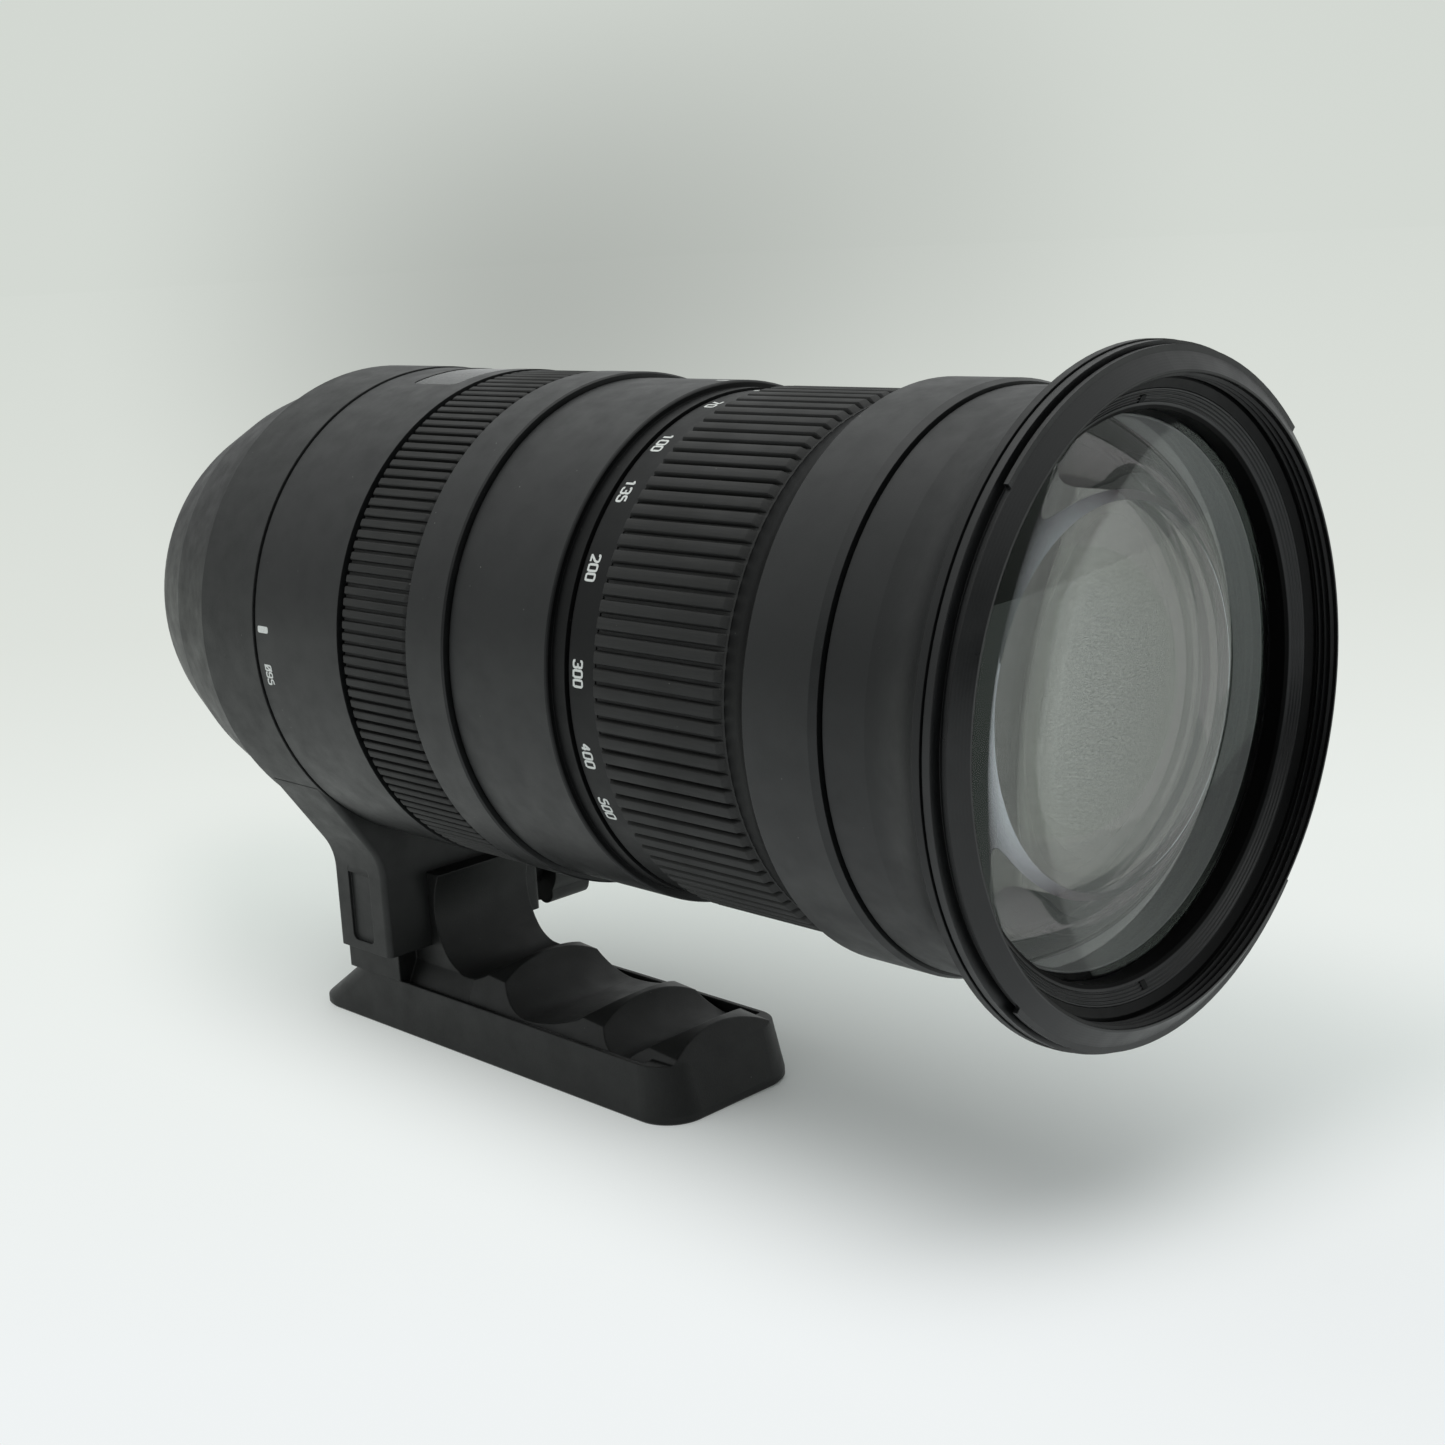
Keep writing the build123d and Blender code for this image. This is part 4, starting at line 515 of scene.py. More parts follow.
shell_paint = painted(
    "shell_paint", (0.0052, 0.0058, 0.0060), (0.0075, 0.0082, 0.0084), 0.42, dust=0.5, specular=0.46,
    shade_zones=(COVER_ZONE,))
ring_paint = painted(
    "ring_paint", (0.0050, 0.0056, 0.0058), (0.0072, 0.0079, 0.0081), 0.42, dust=0.5, specular=0.46,
    shade_zones=(NECK_ZONE, STRIP_ZONE, COVE_ZONE))
collar_paint = painted(
    "collar_paint", (0.0075, 0.0082, 0.0080), (0.011, 0.012, 0.0116), 0.5, grain=0.3, bump=0.02,
    dust=0.3, edge=0.3)
foot_paint = painted(
    "foot_paint", (0.0062, 0.0067, 0.0066), (0.0092, 0.0099, 0.0095), 0.48, grain=0.35, bump=0.02,
    dust=0.2, edge=0.5, specular=0.42)
front_paint = painted(
    "front_paint", (0.0045, 0.0050, 0.0052), (0.0062, 0.0068, 0.0071), 0.42, dust=0.2, specular=0.42,
    shade_zones=(FLARE_ZONE,))
rim_paint = painted(
    "rim_anodised", ANODISED_DARK, ANODISED_LIGHT, 0.34, bump=0.004, turned=0.12, specular=0.45,
    shade_zones=(RIM_BORE_ZONE,))
retainer_paint = painted(
    "retainer_anodised", ANODISED_DARK, ANODISED_LIGHT, 0.34, bump=0.003, specular=0.42,
    shade_zones=(RETAINER_BORE_ZONE,))
# The filter thread is black anodising made darker and duller by painted shade of the rim's bore
thread_black_and_shade = painted(
    "thread_anodised_and_shade", (0.0030, 0.0030, 0.0033), (0.0045, 0.0045, 0.0048), 0.36, bump=0.003, specular=0.2)
inner_black = painted(
    "inner_flock", (0.0035, 0.0038, 0.0040), (0.0055, 0.0060, 0.0062), 0.75, bump=0.03, specular=0.25)
# The glass spacer's cone is light grey as painted reflection: it stands in for the surroundings mirrored
# in the front element
cone_reflection_grey = painted(
    "cone_painted_reflection", (0.36, 0.37, 0.365), (0.38, 0.39, 0.385), 0.6, grain=0.3, bump=0.003, specular=0.3)
tube_black = painted(
    "tube_anodised", (0.011, 0.011, 0.012), (0.016, 0.016, 0.017), 0.38, bump=0.004, turned=0.2)
switch_black = painted("switch_plastic", (0.012, 0.012, 0.013), (0.016, 0.016, 0.017), 0.36, bump=0.008)
blade_black = painted("blade_coating", (0.012, 0.012, 0.013), (0.02, 0.02, 0.021), 0.42, bump=0.002)
felt_black = painted("felt", (0.008, 0.008, 0.008), (0.016, 0.016, 0.016), 0.85, grain=0.4, bump=0.08)
board_green = painted("board_resin", (0.01, 0.05, 0.02), (0.015, 0.07, 0.03), 0.4, bump=0.01)
rubber_black = rubber("grip_rubber")
mount_chrome = metal("mount_chrome", (0.70, 0.69, 0.67), 0.26, turned=0.25)
screw_steel = metal("screw_steel", (0.45, 0.45, 0.45), 0.34)
contact_gold = metal("contact_gold", (0.95, 0.68, 0.30), 0.22)
cam_metal = metal("cam_aluminium", (0.35, 0.35, 0.36), 0.4, turned=0.2)
roller_metal = metal("roller_brass", (0.62, 0.48, 0.26), 0.35)
stator_metal = metal("stator_copper", (0.50, 0.30, 0.18), 0.42)
bush_steel = metal("bush_steel", (0.60, 0.60, 0.60), 0.3)
white_ink = ink("white_print", (0.80, 0.82, 0.80))
amber_ink = ink("amber_print", (0.62, 0.30, 0.06))
front_coating = coated_glass(
    "front_coating", (0.70, 0.84, 0.73), (0.86, 0.80, 0.80), 1.0, 1.52, (0.97, 0.985, 0.975), 0.0)
second_coating = coated_glass(
    "second_coating", (0.34, 0.35, 0.27), (0.36, 0.29, 0.27), 1.0, 1.85, (0.90, 0.94, 0.88), 0.0)
shoulder_coating = coated_glass(
    "shoulder_coating", (0.62, 0.50, 0.54), (0.46, 0.30, 0.36), 1.0, 1.85, (0.86, 0.84, 0.85), 0.0)
inner_coating = coated_glass(
    "inner_coating", (0.74, 0.76, 0.56), (0.80, 0.55, 0.62), 0.0, 1.9, (0.008, 0.010, 0.008), 0.02)
window_clear = coated_glass(
    "window_clear", (1.0, 1.0, 1.0), (1.0, 1.0, 1.0), 1.0, 1.3, (0.30, 0.31, 0.31), 0.2)
edge_polish = coated_glass(
    "edge_polish", (0.90, 0.96, 1.0), (0.06, 0.04, 0.05), 0.0, 25.0, (0.02, 0.02, 0.025), 0.05,
    turn=(0.14, 0.38))

# The finish of each CAD node, by what it is made of
BLADES = 9
finishes = {
    shell_paint: ("scale_shell", "switch_panel", "focus_ring", "rear_cover"),
    ring_paint: ("fixed_barrel", "zoom_ring"),
    collar_paint: ("tripod_collar", "lock_knob"),
    foot_paint: ("tripod_foot",),
    front_paint: ("front_barrel",),
    rim_paint: ("filter_ring",),
    retainer_paint: ("retaining_ring",),
    rubber_black: ("focus_grip", "zoom_grip"),
    mount_chrome: ("mount_plate",),
    screw_steel: ("mount_screws", "foot_screws"),
    contact_gold: ("contact_pins",),
    inner_black: ("rear_baffle", "contact_block", "front_cell", "variator_cell", "focus_cell",
                  "relay_cell", "rear_cell", "stabiliser_slide", "stabiliser_cell", "distance_drum"),
    cone_reflection_grey: ("glass_spacer",),
    tube_black: ("guide_tube", "extension_tube", "iris_ring"),
    cam_metal: ("cam_tube",),
    roller_metal: ("cam_rollers", "zoom_keys"),
    stator_metal: ("motor_stator",),
    board_green: ("circuit_board",),
    felt_black: ("collar_liner",),
    bush_steel: ("tripod_bush",),
    switch_black: ("focus_switch", "stabiliser_switch", "zoom_lock_switch"),
    blade_black: tuple("iris_blade_%d" % (index + 1) for index in range(BLADES)),
    front_coating: ("front_element",),
    second_coating: ("second_element",),
    inner_coating: ("variator_element", "focus_element", "relay_element", "rear_element",
                    "stabiliser_element"),
    window_clear: ("distance_window",),
}
for material, names in finishes.items():
    for name in names:
        node = nodes[name]
        node.data.materials.clear()
        node.data.materials.append(material)


def dress(piece, material, body, slot, *replaced):
    """Give a new piece its material and body, and hide the nodes that it stands for; the slot is not
    used.
    """
    piece.data.materials.append(material)
    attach(piece, body)
    if replaced:
        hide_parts(*replaced)


# Walls of the ribs hold (place across the pitch, height share). Their ends hold (offset from the rear,
# or from the front where it is below nought, height share), and FRONT_END stands for the front itself
FRONT_END = -1e-6

# Zoom ring rubber: broad ribs between narrow grooves, their front ends cut back on a slope
ZOOM_RIBS = 103
ZOOM_RIB_PHASE = 0.1 + FULL_TURN / ZOOM_RIBS / 2
zoom_walls = (
    (-0.5, 0), (-0.41, 0), (-0.36, 0.7), (-0.31, 0.93), (-0.24, 1.0),
    (0.24, 1.0), (0.31, 0.93), (0.36, 0.7), (0.41, 0),
)
zoom_ends = (
    (0.0, 0.25), (0.2, 0.75), (0.5, 1.0), (-1.5, 1.0), (-1.35, 0.93), (-0.5, 0.15), (-0.42, 0.06),
    (FRONT_END, 0.06),
)
zoom_rubber = ribbed_sleeve(
    "zoom_rubber", ZOOM_RUBBER, ZOOM_RUBBER_SEAT, ZOOM_RUBBER_FLOOR, ZOOM_RUBBER_TOP, ZOOM_RIBS,
    zoom_walls, zoom_ends, ZOOM_RIB_PHASE)
dress(zoom_rubber, rubber_black, "zoom_ring", "grip", "zoom_grip")

# Focus ring rubber: finer ribs, with a thin plain lip at the rear
FOCUS_RIBS = 142
FOCUS_RIB_PHASE = 0.0
focus_walls = ((-0.5, 0), (-0.38, 0), (-0.33, 0.8), (-0.24, 1.0), (0.24, 1.0), (0.33, 0.8), (0.38, 0))
focus_ends = (
    (0.0, 0.2), (0.25, 0.8), (0.5, 1.0), (-1.3, 1.0), (-1.15, 0.92), (-0.4, 0.15), (FRONT_END, 0.1),
)
focus_rubber = ribbed_sleeve(
    "focus_rubber", FOCUS_RUBBER, FOCUS_RUBBER_SEAT, FOCUS_RUBBER_FLOOR, FOCUS_RUBBER_TOP, FOCUS_RIBS,
    focus_walls, focus_ends, FOCUS_RIB_PHASE)
dress(focus_rubber, rubber_black, "focus_ring", "grip", "focus_grip")


def cap_arc(radius, rim, vertex, steps):
    """Points of a spherical cap's section from its rim to the axis."""
    bulge = vertex - rim
    sphere = (radius**2 + bulge**2) / (2 * bulge)
    side = 1 if sphere > 0 else -1
    arc = []
    for step in range(steps + 1):
        reach = radius * (1 - step / steps)
        arc.append((vertex - sphere + side * sqrt(sphere**2 - reach**2), reach))
    return arc


# Front element, flat behind and with a small bevel at its ground edge
GLASS_FLAT = 42.0
GLASS_RING = 21.0
GLASS_EDGE_BEVEL = 0.3
FRONT_CAP_STEPS = 28
front_glass = disc_lathe(
    "front_glass",
    [(GLASS_REAR, 0), (GLASS_REAR, GLASS_RING), (GLASS_REAR, GLASS_FLAT),
     (GLASS_REAR + GLASS_EDGE_BEVEL, GLASS_RADIUS)]
    + cap_arc(GLASS_RADIUS, GLASS_EDGE, GLASS_VERTEX, FRONT_CAP_STEPS))
dress(front_glass, front_coating, "front", "optics", "front_element")

# The element behind it: a domed middle, a bevel round the dome, and a shoulder that falls away outwards
SECOND_REAR = 195.4
SECOND_EDGE = 196.9
SECOND_VERTEX = 203.2
SECOND_RADIUS = 40.7
SECOND_RING = 20.0
SECOND_CAP_STEPS = 20
SHOULDER_START = 32.6
SHOULDER_END = 36.9
SHOULDER_TOP = 199.95
SHOULDER_STEPS = 8
SHOULDER_SLOPES = (radians(6), radians(50))
DOME_EDGE = (202.3, 28.3)
DOME_FOOT = (201.35, 29.1)


def shoulder():
    """The rounded shoulder of the second element, from its outer edge to its inner one."""
    station = SHOULDER_TOP
    width = (SHOULDER_END - SHOULDER_START) / SHOULDER_STEPS
    points = [(station, SHOULDER_START)]
    least, most = SHOULDER_SLOPES
    for step in range(SHOULDER_STEPS):
        slope = least + (most - least) * (step + 0.5) / SHOULDER_STEPS
        station -= width * tan(slope)
        points.append((station, SHOULDER_START + width * (step + 1)))
    return points[::-1]


second_glass = disc_lathe(
    "second_glass",
    [(SECOND_REAR, 0), (SECOND_REAR, SECOND_RING), (SECOND_REAR, SECOND_RADIUS),
     (SECOND_EDGE, SECOND_RADIUS)]
    + shoulder() + [DOME_FOOT] + cap_arc(DOME_EDGE[1], DOME_EDGE[0], SECOND_VERTEX, SECOND_CAP_STEPS))
dress(second_glass, second_coating, "front", "optics", "second_element")
second_glass.data.materials.append(shoulder_coating)
for polygon in second_glass.data.polygons:
    if hypot(polygon.center.y, polygon.center.z) > DOME_EDGE[1] * MM:
        polygon.material_index = 1

# Polished bevel behind the front element, which mirrors the surroundings as a bright crescent;
# its outline holds (distance behind the glass, radius)
POLISHED_OUTLINE = ((0.02, 28.5), (0.86, 29.6), (0.89, 29.55), (0.06, 28.45))
polished_edge = lathe(
    "polished_edge", [(GLASS_REAR - behind, radius) for behind, radius in POLISHED_OUTLINE],
    columns=FINE_COLUMNS)
dress(polished_edge, edge_polish, "front", "optics")

# Retaining ring: a slope with fine grooves, and a narrow bevel at the bore
RETAINER_BEVEL = 0.55
RETAINER_SLOPE_START = 43.15
RETAINER_SKIRT_RADIUS = 43.3
RETAINER_SKIRT_FRONT = 213.15
RETAINER_GROOVES = 4
GROOVE_START = 43.3
GROOVE_PITCH = 0.46
GROOVE_WIDTH = 0.34
GROOVE_DEPTH = 0.12
GROOVE_SIDE = 0.08


def retainer_profile():
    """Outline of the retaining ring from the bore outwards and back along its skirt."""
    profile = [
        (RETAINER_REAR, RETAINER_BORE),
        (RETAINER_TIP - RETAINER_BEVEL, RETAINER_BORE),
        (RETAINER_TIP, RETAINER_SLOPE_START),
    ]
    slope = (RETAINER_FRONT - RETAINER_TIP) / (RETAINER_RADIUS - RETAINER_SLOPE_START)
    for index in range(RETAINER_GROOVES):
        low = GROOVE_START + index * GROOVE_PITCH
        station = RETAINER_TIP + slope * (low - RETAINER_SLOPE_START)
        profile += [
            (station, low),
            (station - GROOVE_DEPTH, low + GROOVE_SIDE),
            (station - GROOVE_DEPTH + slope * GROOVE_WIDTH / 2, low + GROOVE_WIDTH - GROOVE_SIDE),
            (station + slope * GROOVE_WIDTH, low + GROOVE_WIDTH),
        ]
    return profile + [
        (RETAINER_FRONT, RETAINER_RADIUS),
        (RETAINER_SKIRT_FRONT, RETAINER_RADIUS),
        (RETAINER_SKIRT_FRONT, RETAINER_SKIRT_RADIUS),
        (RETAINER_REAR, RETAINER_SKIRT_RADIUS),
    ]


retainer = lathe("retainer", retainer_profile(), columns=FINE_COLUMNS)
dress(retainer, retainer_paint, "front", "optics", "retaining_ring")

# Spanner slots: two small dark blocks set into the slope, above and below; their dark, dull finish is
# painted shade of the slots' hollows
SOCKET_ANGLES = (90, 270)
SOCKET_WIDTH = 1.3
SOCKET_ENDS = ((213.42, 43.35), (214.05, 44.4))
SOCKET_LEVELS = (0.02, -0.3)
SOCKET_QUADS = ((0, 1, 3, 2), (4, 6, 7, 5), (0, 4, 5, 1), (2, 3, 7, 6), (0, 2, 6, 4), (1, 5, 7, 3))
socket_points = []
socket_faces = []
for angle in SOCKET_ANGLES:
    first = len(socket_points)
    for level in SOCKET_LEVELS:
        for station, radius in SOCKET_ENDS:
            for side in (-1, 1):
                turn = angle + side * degrees(SOCKET_WIDTH / 2 / radius)
                socket_points.append(on_axis(station + level, radius, turn))
    socket_faces += [tuple(first + corner for corner in quad) for quad in SOCKET_QUADS]
spanner_slots = mesh_piece("spanner_slots", socket_points, socket_faces)
dress(spanner_slots, inner_black, "front", "optics")

# Filter thread: one ridge that winds forwards inside the rim and fades out at both ends
THREAD_PITCH = 1.0
THREAD_DEPTH = 0.5
THREAD_START = 215.55
THREAD_TURNS = 3.0
THREAD_COLUMNS = 180
THREAD_FADE = 8
THREAD_FOOT = 0.42
THREAD_CREST = 0.06
THREAD_OVERLAP = 0.02
LEAST_DEPTH = 0.02
LEAST_WIDTH = 0.1
thread_points = []
thread_faces = []
steps = int(THREAD_TURNS * THREAD_COLUMNS)
for step in range(steps + 1):
    turns = step / THREAD_COLUMNS
    fade = min(1.0, THREAD_FADE * turns, THREAD_FADE * (THREAD_TURNS - turns))
    station = THREAD_START + THREAD_PITCH * turns
    foot = THREAD_RADIUS + THREAD_OVERLAP
    crest = THREAD_RADIUS - THREAD_DEPTH * max(fade, LEAST_DEPTH)
    section = ((-THREAD_FOOT, foot), (-THREAD_CREST, crest), (THREAD_CREST, crest), (THREAD_FOOT, foot))
    for offset, radius in section:
        along = station + offset * max(fade, LEAST_WIDTH)
        thread_points.append(on_axis(along, radius, FULL_TURN * turns))
for step in range(steps):
    here = 4 * step
    for corner in range(4):
        following = (corner + 1) % 4
        thread_faces.append((here + corner, here + following, here + 4 + following, here + 4 + corner))
thread_faces += [(0, 1, 2, 3), (4 * steps + 3, 4 * steps + 2, 4 * steps + 1, 4 * steps)]
filter_thread = mesh_piece("filter_thread", thread_points, thread_faces, sharp=20.0)
dress(filter_thread, thread_black_and_shade, "front", "front_shell")

# Numerals drawn as strokes in a box one high: corner points, each rounded by the corner radius
NUMERAL_WIDTH = 0.53
NUMERAL_ADVANCE = 0.77
NUMERAL_WEIGHT = 0.2
NUMERAL_CORNER = 0.2
CORNER_STEPS = 5
LONGEST_CUT = 0.45
MIDDLE = 0.52
FOOT_HOOK = 0.2
numeral_strokes = {
    "0": (((0, 0), (1, 0), (1, 1), (0, 1), (0, 0), (1, 0)),),
    "1": (((0.15, 0.8), (0.6, 1), (0.6, 0)),),
    "2": (((0, 1 - FOOT_HOOK), (0, 1), (1, 1), (1, MIDDLE + 0.06), (0, 0.02), (0, 0), (1, 0)),),
    "3": (((0, 1 - FOOT_HOOK), (0, 1), (1, 1), (1, MIDDLE), (0.35, MIDDLE)),
          ((0.35, MIDDLE), (1, MIDDLE), (1, 0), (0, 0), (0, FOOT_HOOK))),
    "4": (((0.75, 0), (0.75, 1), (0, 0.3), (1.05, 0.3)),),
    "5": (((0.95, 1), (0.06, 1), (0.06, 0.58), (1, 0.58), (1, 0), (0, 0), (0, FOOT_HOOK)),),
    "7": (((0, 1), (1, 1), (0.3, 0)),),
    "9": (((1, 0.46), (0, 0.46), (0, 1), (1, 1), (1, 0), (0, 0), (0, FOOT_HOOK)),),
    "Ø": (((0, 0), (1, 0), (1, 1), (0, 1), (0, 0), (1, 0)), ((-0.1, -0.1), (1.1, 1.1))),
}


def rounded_line(corners, radius):
    """A path through the corner points whose turns are cut back and rounded."""
    path = [corners[0]]
    for before, corner, after in zip(corners, corners[1:], corners[2:]):
        legs = []
        for other in (before, after):
            reach = hypot(other[0] - corner[0], other[1] - corner[1])
            share = min(radius / reach, LONGEST_CUT)
            legs.append(tuple(corner[axis] + (other[axis] - corner[axis]) * share for axis in (0, 1)))
        bend = (legs[0], corner, legs[1])
        for step in range(CORNER_STEPS + 1):
            t = step / CORNER_STEPS
            weights = ((1 - t) ** 2, 2 * t * (1 - t), t**2)
            path.append(tuple(
                sum(weight * point[axis] for weight, point in zip(weights, bend)) for axis in (0, 1)))
    return path + [corners[-1]]


def numeral_words(name, words, radius, height, lift=0.035):
    """Numerals round a cylinder; words hold (text, station, angle), with their tops to the front."""
    points = []
    faces = []
    for body, station, angle in words:
        total = NUMERAL_WIDTH + (len(body) - 1) * NUMERAL_ADVANCE
        for place, sign in enumerate(body):
            start = place * NUMERAL_ADVANCE - total / 2
            for corners in numeral_strokes[sign]:
                path = rounded_line([(x * NUMERAL_WIDTH, y) for x, y in corners], NUMERAL_CORNER)
                first = len(points)
                for index, (x, y) in enumerate(path):
                    before = path[max(index - 1, 0)]
                    after = path[min(index + 1, len(path) - 1)]
                    run = hypot(after[0] - before[0], after[1] - before[1]) or 1.0
                    normal = ((before[1] - after[1]) / run, (after[0] - before[0]) / run)
                    for side, level in ((-1, 0.0), (1, 0.0), (1, lift), (-1, lift)):
                        across = (x + side * normal[0] * NUMERAL_WEIGHT / 2 + start) * height
                        along = (y + side * normal[1] * NUMERAL_WEIGHT / 2 - 0.5) * height
                        turn = angle - degrees(across / radius)
                        points.append(on_axis(station + along, radius + level, turn))
                for index in range(len(path) - 1):
                    here = first + 4 * index
                    there = here + 4
                    for corner in range(4):
                        following = (corner + 1) % 4
                        faces.append((here + corner, here + following, there + following, there + corner))
                end = first + 4 * (len(path) - 1)
                faces += [(first, first + 1, first + 2, first + 3), (end + 3, end + 2, end + 1, end)]
    return mesh_piece(name, points, faces)


# Focal lengths round the zoom ring's number strip, and the index line on the neck behind it
ZOOM_NUMBER_HEIGHT = 1.98
focal_lengths = (
    ("50", 92.0), ("70", 76.25), ("100", 59.1), ("135", 44.9),
    ("200", 26.9), ("300", 4.8), ("400", -13.0), ("500", -26.2),
)
zoom_numbers = numeral_words(
    "zoom_numbers", [(body, STRIP_MIDDLE, angle) for body, angle in focal_lengths], STRIP_RADIUS,
    ZOOM_NUMBER_HEIGHT)
dress(zoom_numbers, white_ink, "zoom_ring", "shell")
zoom_index = bar_on_barrel("zoom_index", ((129.4, 132.2, 90.0, 0.7),), NECK_CREST)
dress(zoom_index, white_ink, "barrel", "shell")

# Marks behind the scale section: the bar that the tripod collar is set to, and the filter size
FILTER_MARK_HEIGHT = 1.75
collar_mark = bar_on_barrel("collar_mark", ((53.9, 57.1, 3.6, 1.25),), BARREL_RADIUS)
dress(collar_mark, white_ink, "barrel", "shell")
filter_mark = numeral_words("filter_mark", (("Ø95", 55.9, -6.9),), BARREL_RADIUS, FILTER_MARK_HEIGHT)
dress(filter_mark, white_ink, "barrel", "shell")

# Distance scale on the drum behind the window: metres in front, feet behind
SCALE_HEIGHT = 2.0
METRES_STATION = WINDOW_MIDDLE + 2.9
FEET_STATION = WINDOW_MIDDLE - 2.6
INDEX_RADIUS = 45.05
INDEX_REACH = 0.9
metres = (("∞", 104), ("30", 97), ("10", 87), ("5", 76), ("3", 64), ("2.2", 51))
feet = (("∞", 104), ("100", 95.5), ("30", 86), ("15", 75), ("10", 63), ("7.2", 51))
metre_scale = wrapped_words(
    "metre_scale", [(body, METRES_STATION, angle) for body, angle in metres], DRUM_RADIUS, SCALE_HEIGHT)
dress(metre_scale, white_ink, "focus_ring", "inner_plastic")
feet_scale = wrapped_words(
    "feet_scale", [(body, FEET_STATION, angle) for body, angle in feet], DRUM_RADIUS, SCALE_HEIGHT)
dress(feet_scale, amber_ink, "focus_ring", "inner_plastic")
window_index = bar_on_barrel(
    "window_index", ((WINDOW_MIDDLE - INDEX_REACH, WINDOW_MIDDLE + INDEX_REACH, 90.0, 0.35),),
    INDEX_RADIUS, lift=0.01)
dress(window_index, white_ink, "barrel", "shell")


def panel_words(name, words, height):
    """Lettering on the flat switch panel, read from the photographer's left."""
    points = []
    faces = []
    for body, station, rise in words:
        spots, patches = text_points(body, height, 0.0)
        first = len(points)
        points += [(station - spot.x, PANEL_FACE + PRINT_LIFT + spot.z, rise + spot.y) for spot in spots]
        faces += [tuple(first + corner for corner in patch) for patch in patches]
    return mesh_piece(name, points, faces)


SWITCH_WORD_HEIGHT = 1.3
switch_words = panel_words("switch_words", (
    ("AF", 68.0, 11.6), ("MF", 63.4, 11.6),
    ("1", 69.2, 3.0), ("OFF", 65.8, 3.0), ("2", 62.4, 3.0),
    ("LOCK", 65.8, -5.6),
), SWITCH_WORD_HEIGHT)
dress(switch_words, white_ink, "barrel", "switch")

# The scene behind the lens: a white table whose tone fades to that of the wall with distance, and on
# the wall the soft shade of the lens itself; shades hold (direction from the camera, depth)
CAMERA_PLACE = (379.06, -252.46, 70.41)
CAMERA_AZIMUTH = radians(44.991)
WALL_DISTANCE = 520.0
NEAR_TONE = (0.87, 0.90, 0.905)
TURN_TONE = (0.83, 0.865, 0.835)
WALL_TONE = (0.73, 0.762, 0.72)
TOP_TONE = (0.658, 0.694, 0.651)
SHADE_REACH = 0.2
wall_shades = (((-0.77, 0.637, -0.045), 0.33), ((-0.665, 0.747, 0.0), 0.19))


def vector_node(tree, kind, first, second=None):
    node = tree.nodes.new("ShaderNodeVectorMath")
    node.operation = kind
    for socket, value in zip(node.inputs, (first, second)):
        if isinstance(value, tuple):
            socket.default_value = value
        elif value is not None:
            tree.links.new(value, socket)
    return node.outputs["Value" if kind == "DISTANCE" else "Vector"]


def smooth(tree, value, low, high, to_low, to_high):
    """A remap without corners."""
    result = remap(tree, value, low, high, to_low, to_high)
    result.node.interpolation_type = "SMOOTHSTEP"
    return result


def shaded(tree, colour, direction):
    """The backdrop's colour with the shade of the lens on it."""
    light = 1.0
    for middle, depth in wall_shades:
        apart = vector_node(tree, "DISTANCE", direction, middle)
        light = math_node(tree, "MULTIPLY", light, smooth(tree, apart, 0.0, SHADE_REACH, 1 - depth, 1.0))
    node = tree.nodes.new("ShaderNodeVectorMath")
    node.operation = "SCALE"
    tree.links.new(colour, node.inputs[0])
    tree.links.new(light, node.inputs["Scale"])
    return node.outputs["Vector"]


TABLE_REACH = 9000.0
CORNER_SIDES = ((-1, -1), (1, -1), (1, 1), (-1, 1))
table_corners = [(x * TABLE_REACH, y * TABLE_REACH, TABLE_HEIGHT) for x, y in CORNER_SIDES]
floor = mesh_piece("table", table_corners, [(0, 1, 2, 3)])
table_top, tree, shader, spot = new_material("table_top")
split = tree.nodes.new("ShaderNodeSeparateXYZ")
tree.links.new(spot, split.inputs["Vector"])
along = split.outputs["X"]
across = split.outputs["Y"]

# How far ahead of the camera a spot on the table lies, and from that its rise in the picture: nought at
# the wall's distance and one at the horizon
LEAST_DISTANCE = 50.0
offset_x = math_node(tree, "SUBTRACT", along, CAMERA_PLACE[0] * MM)
offset_y = math_node(tree, "SUBTRACT", across, CAMERA_PLACE[1] * MM)
west = math_node(tree, "MULTIPLY", offset_x, -sin(CAMERA_AZIMUTH))
north = math_node(tree, "MULTIPLY", offset_y, cos(CAMERA_AZIMUTH))
depth = math_node(tree, "MAXIMUM", math_node(tree, "ADD", west, north), LEAST_DISTANCE * MM)
rise = math_node(tree, "SUBTRACT", 1.0, math_node(tree, "DIVIDE", WALL_DISTANCE * MM, depth))
TONE_RISES = (-0.9, 0.0, 0.4, 1.0)
plain = NEAR_TONE
for low, high, tone in zip(TONE_RISES, TONE_RISES[1:], (TURN_TONE, WALL_TONE, TOP_TONE)):
    plain = blend_colours(tree, remap(tree, rise, low, high, 0.0, 1.0), plain, tone)

# A faint mottle keeps the white from looking flat
MOTTLE_SIZE = 60.0
MOTTLE_SHARE = 0.03
MOTTLE_TONE = (0.7, 0.72, 0.7)
mottle = remap(tree, noise(tree, spot, MOTTLE_SIZE, detail=6.0), 0.2, 0.8, 0.0, MOTTLE_SHARE)
plain = blend_colours(tree, mottle, plain, MOTTLE_TONE)
tree.links.new(plain, shader.inputs["Base Color"])
TABLE_ROUGHNESS = 0.6
TABLE_SHINE = 0.1
shader.inputs["Roughness"].default_value = TABLE_ROUGHNESS
shader.inputs["Specular IOR Level"].default_value = TABLE_SHINE

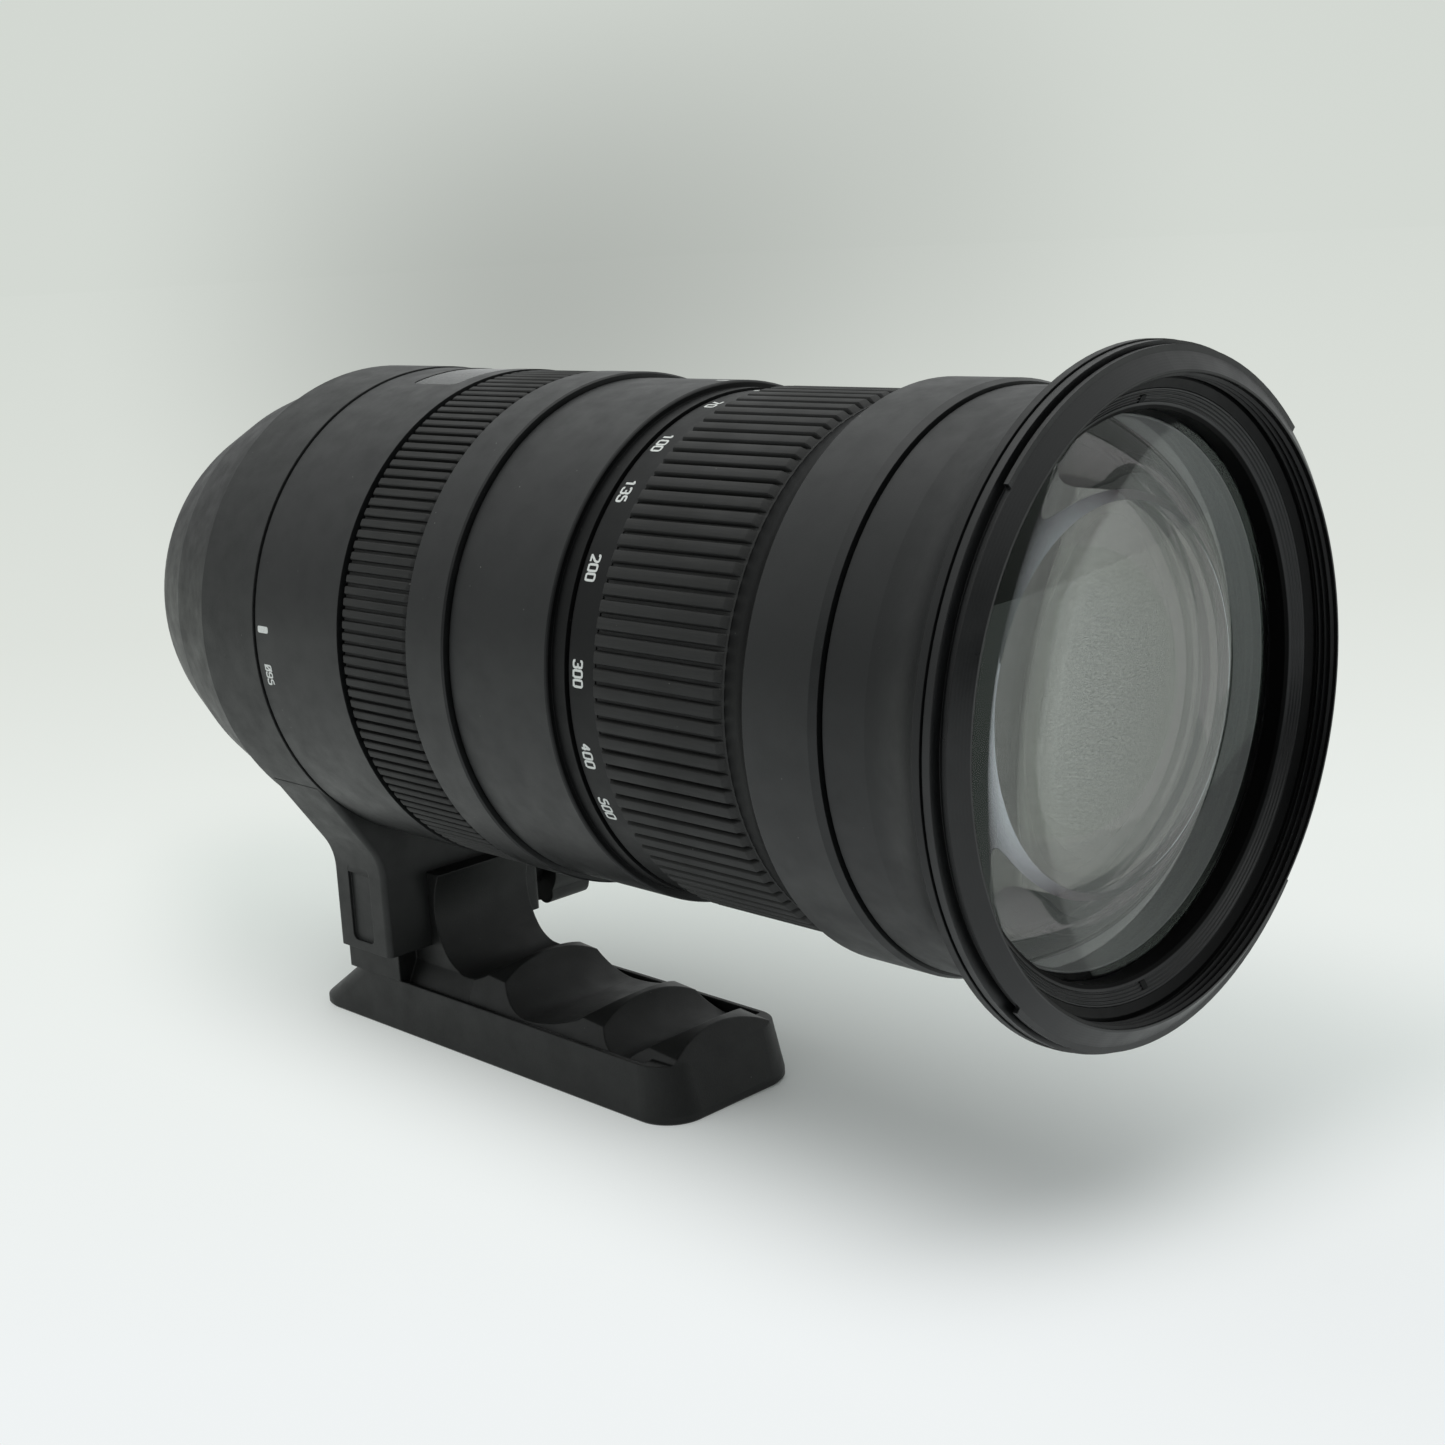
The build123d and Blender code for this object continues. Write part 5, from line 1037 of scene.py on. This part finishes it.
# Seen directly, the table keeps its own tone outside the shadow of the lens, whose edges are soft; they
# hold (place, from, to, share of the shadow before, share after)
SLANT = (-0.6, -0.8)
SKEW = 0.2
MIRRORED_SHARE = 0.6
slant_x = math_node(tree, "MULTIPLY", along, SLANT[0])
slant_y = math_node(tree, "MULTIPLY", across, SLANT[1])
slant = math_node(tree, "ADD", slant_x, slant_y)
ahead = math_node(tree, "SUBTRACT", along, math_node(tree, "MULTIPLY", across, SKEW))
shadow_edges = (
    (across, -60, 20, 0.0, 1.0),
    (slant, 20, 68, 1.0, 0.0),
    (ahead, 185, 235, 1.0, 0.15),
    (across, 85, 170, 1.0, 0.1),
)
shadow = 1.0
for place, low, high, before, after in shadow_edges:
    edge = smooth(tree, place, low * MM, high * MM, before, after)
    shadow = math_node(tree, "MULTIPLY", shadow, edge)
shadow = math_node(tree, "MULTIPLY", shadow, smooth(tree, rise, 0.0, 0.15, 1.0, 0.0))
light = tree.nodes.new("ShaderNodeLightPath")
mirrored = math_node(tree, "MULTIPLY", light.outputs["Is Glossy Ray"], MIRRORED_SHARE)
seen = math_node(tree, "MAXIMUM", light.outputs["Is Camera Ray"], mirrored)
seen = math_node(tree, "MAXIMUM", seen, light.outputs["Is Transmission Ray"])
glowing = tree.nodes.new("ShaderNodeEmission")
from_camera = vector_node(tree, "SUBTRACT", spot, tuple(part * MM for part in CAMERA_PLACE))
sight = vector_node(tree, "NORMALIZE", from_camera)
tree.links.new(shaded(tree, plain, sight), glowing.inputs["Color"])
mix = tree.nodes.new("ShaderNodeMixShader")
lit = math_node(tree, "SUBTRACT", 1.0, shadow)
tree.links.new(math_node(tree, "MULTIPLY", seen, lit), mix.inputs["Fac"])
tree.links.new(shader.outputs["BSDF"], mix.inputs[1])
tree.links.new(glowing.outputs["Emission"], mix.inputs[2])
tree.links.new(mix.outputs["Shader"], tree.nodes["Material Output"].inputs["Surface"])
floor.data.materials.append(table_top)

# Even pale surroundings, brightest overhead and dim towards the room in front of the lens
LOW_GLOW = 0.46
ROOM_DIRECTION = (0.8, -0.6)
ROOM_REACH = 0.8
ROOM_DIMMING = 0.88
ROOM_TOP = (0.2, 0.65)
WALL_HEIGHT = 0.35
WALL_FALL = 0.97
DAYLIGHT = (0.97, 1.0, 0.99)
world = bpy.data.worlds.new("studio")
bpy.context.scene.world = world
world.use_nodes = True
tree = world.node_tree
backdrop = tree.nodes["Background"]
direction = tree.nodes.new("ShaderNodeTexCoord").outputs["Generated"]
split = tree.nodes.new("ShaderNodeSeparateXYZ")
tree.links.new(direction, split.inputs["Vector"])
height = split.outputs["Z"]
glow = remap(tree, height, 0.0, 1.0, LOW_GLOW, 1.0)
forwards = math_node(tree, "MULTIPLY", split.outputs["X"], ROOM_DIRECTION[0])
rightwards = math_node(tree, "MULTIPLY", split.outputs["Y"], ROOM_DIRECTION[1])
facing = math_node(tree, "ADD", forwards, rightwards)
room = remap(tree, facing, 0.0, ROOM_REACH, 0.0, ROOM_DIMMING)
room = math_node(tree, "MULTIPLY", room, remap(tree, height, *ROOM_TOP, 1.0, 0.0))
glow = math_node(tree, "MULTIPLY", glow, math_node(tree, "SUBTRACT", 1.0, room))
top_of_wall = tuple(WALL_FALL * part for part in TOP_TONE)
wall = blend_colours(tree, remap(tree, height, 0.0, WALL_HEIGHT, 0.0, 1.0), TOP_TONE, top_of_wall)
light = tree.nodes.new("ShaderNodeLightPath")
seen = light.outputs["Is Camera Ray"]
colour = blend_colours(tree, seen, DAYLIGHT, shaded(tree, wall, direction))
tree.links.new(colour, backdrop.inputs["Color"])
unseen = math_node(tree, "SUBTRACT", 1.0, seen)
strength = math_node(tree, "MAXIMUM", math_node(tree, "MULTIPLY", unseen, glow), seen)
tree.links.new(strength, backdrop.inputs["Strength"])

# One wide soft lamp overhead, in metres and watts
LAMP_PLACE = Vector((0.05, 0.1, 1.4))
LAMP_TARGET = Vector((0.1, 0, 0))
LAMP_SIZE = 1.6
LAMP_POWER = 4.4
LAMP_COLOUR = (1.0, 1.0, 0.99)
lamp = bpy.data.lights.new("overhead", "AREA")
lamp.shape = "SQUARE"
lamp.size = LAMP_SIZE
lamp.energy = LAMP_POWER
lamp.color = LAMP_COLOUR
holder = bpy.data.objects.new("overhead", lamp)
holder.location = LAMP_PLACE
holder.rotation_mode = "QUATERNION"
holder.rotation_quaternion = (LAMP_TARGET - LAMP_PLACE).to_track_quat("-Z", "Y")
bpy.context.scene.collection.objects.link(holder)

# Camera where the photograph was taken from
CAMERA_ELEVATION = radians(13.404)
CAMERA_ROLL = radians(-2.876)
FOCAL_LENGTH = 51.79
SENSOR_WIDTH = 36.0
NEAREST_SEEN = 10.0
FARTHEST_SEEN = 50000.0
camera_data = bpy.data.cameras.new("camera")
camera_data.lens = FOCAL_LENGTH
camera_data.sensor_width = SENSOR_WIDTH
camera_data.clip_start = NEAREST_SEEN * MM
camera_data.clip_end = FARTHEST_SEEN * MM
camera = bpy.data.objects.new("camera", camera_data)
bpy.context.scene.collection.objects.link(camera)
backwards = Vector((
    sin(CAMERA_AZIMUTH) * cos(CAMERA_ELEVATION),
    -cos(CAMERA_AZIMUTH) * cos(CAMERA_ELEVATION),
    sin(CAMERA_ELEVATION),
))
level = Vector((cos(CAMERA_AZIMUTH), sin(CAMERA_AZIMUTH), 0))
upright = backwards.cross(level)
sideways = cos(CAMERA_ROLL) * level + sin(CAMERA_ROLL) * upright
upwards = cos(CAMERA_ROLL) * upright - sin(CAMERA_ROLL) * level
facing = Matrix((sideways, upwards, backwards)).transposed()
camera.matrix_world = Matrix.Translation(Vector(CAMERA_PLACE) * MM) @ facing.to_4x4()
bpy.context.scene.camera = camera
bpy.context.scene.view_settings.view_transform = "Standard"
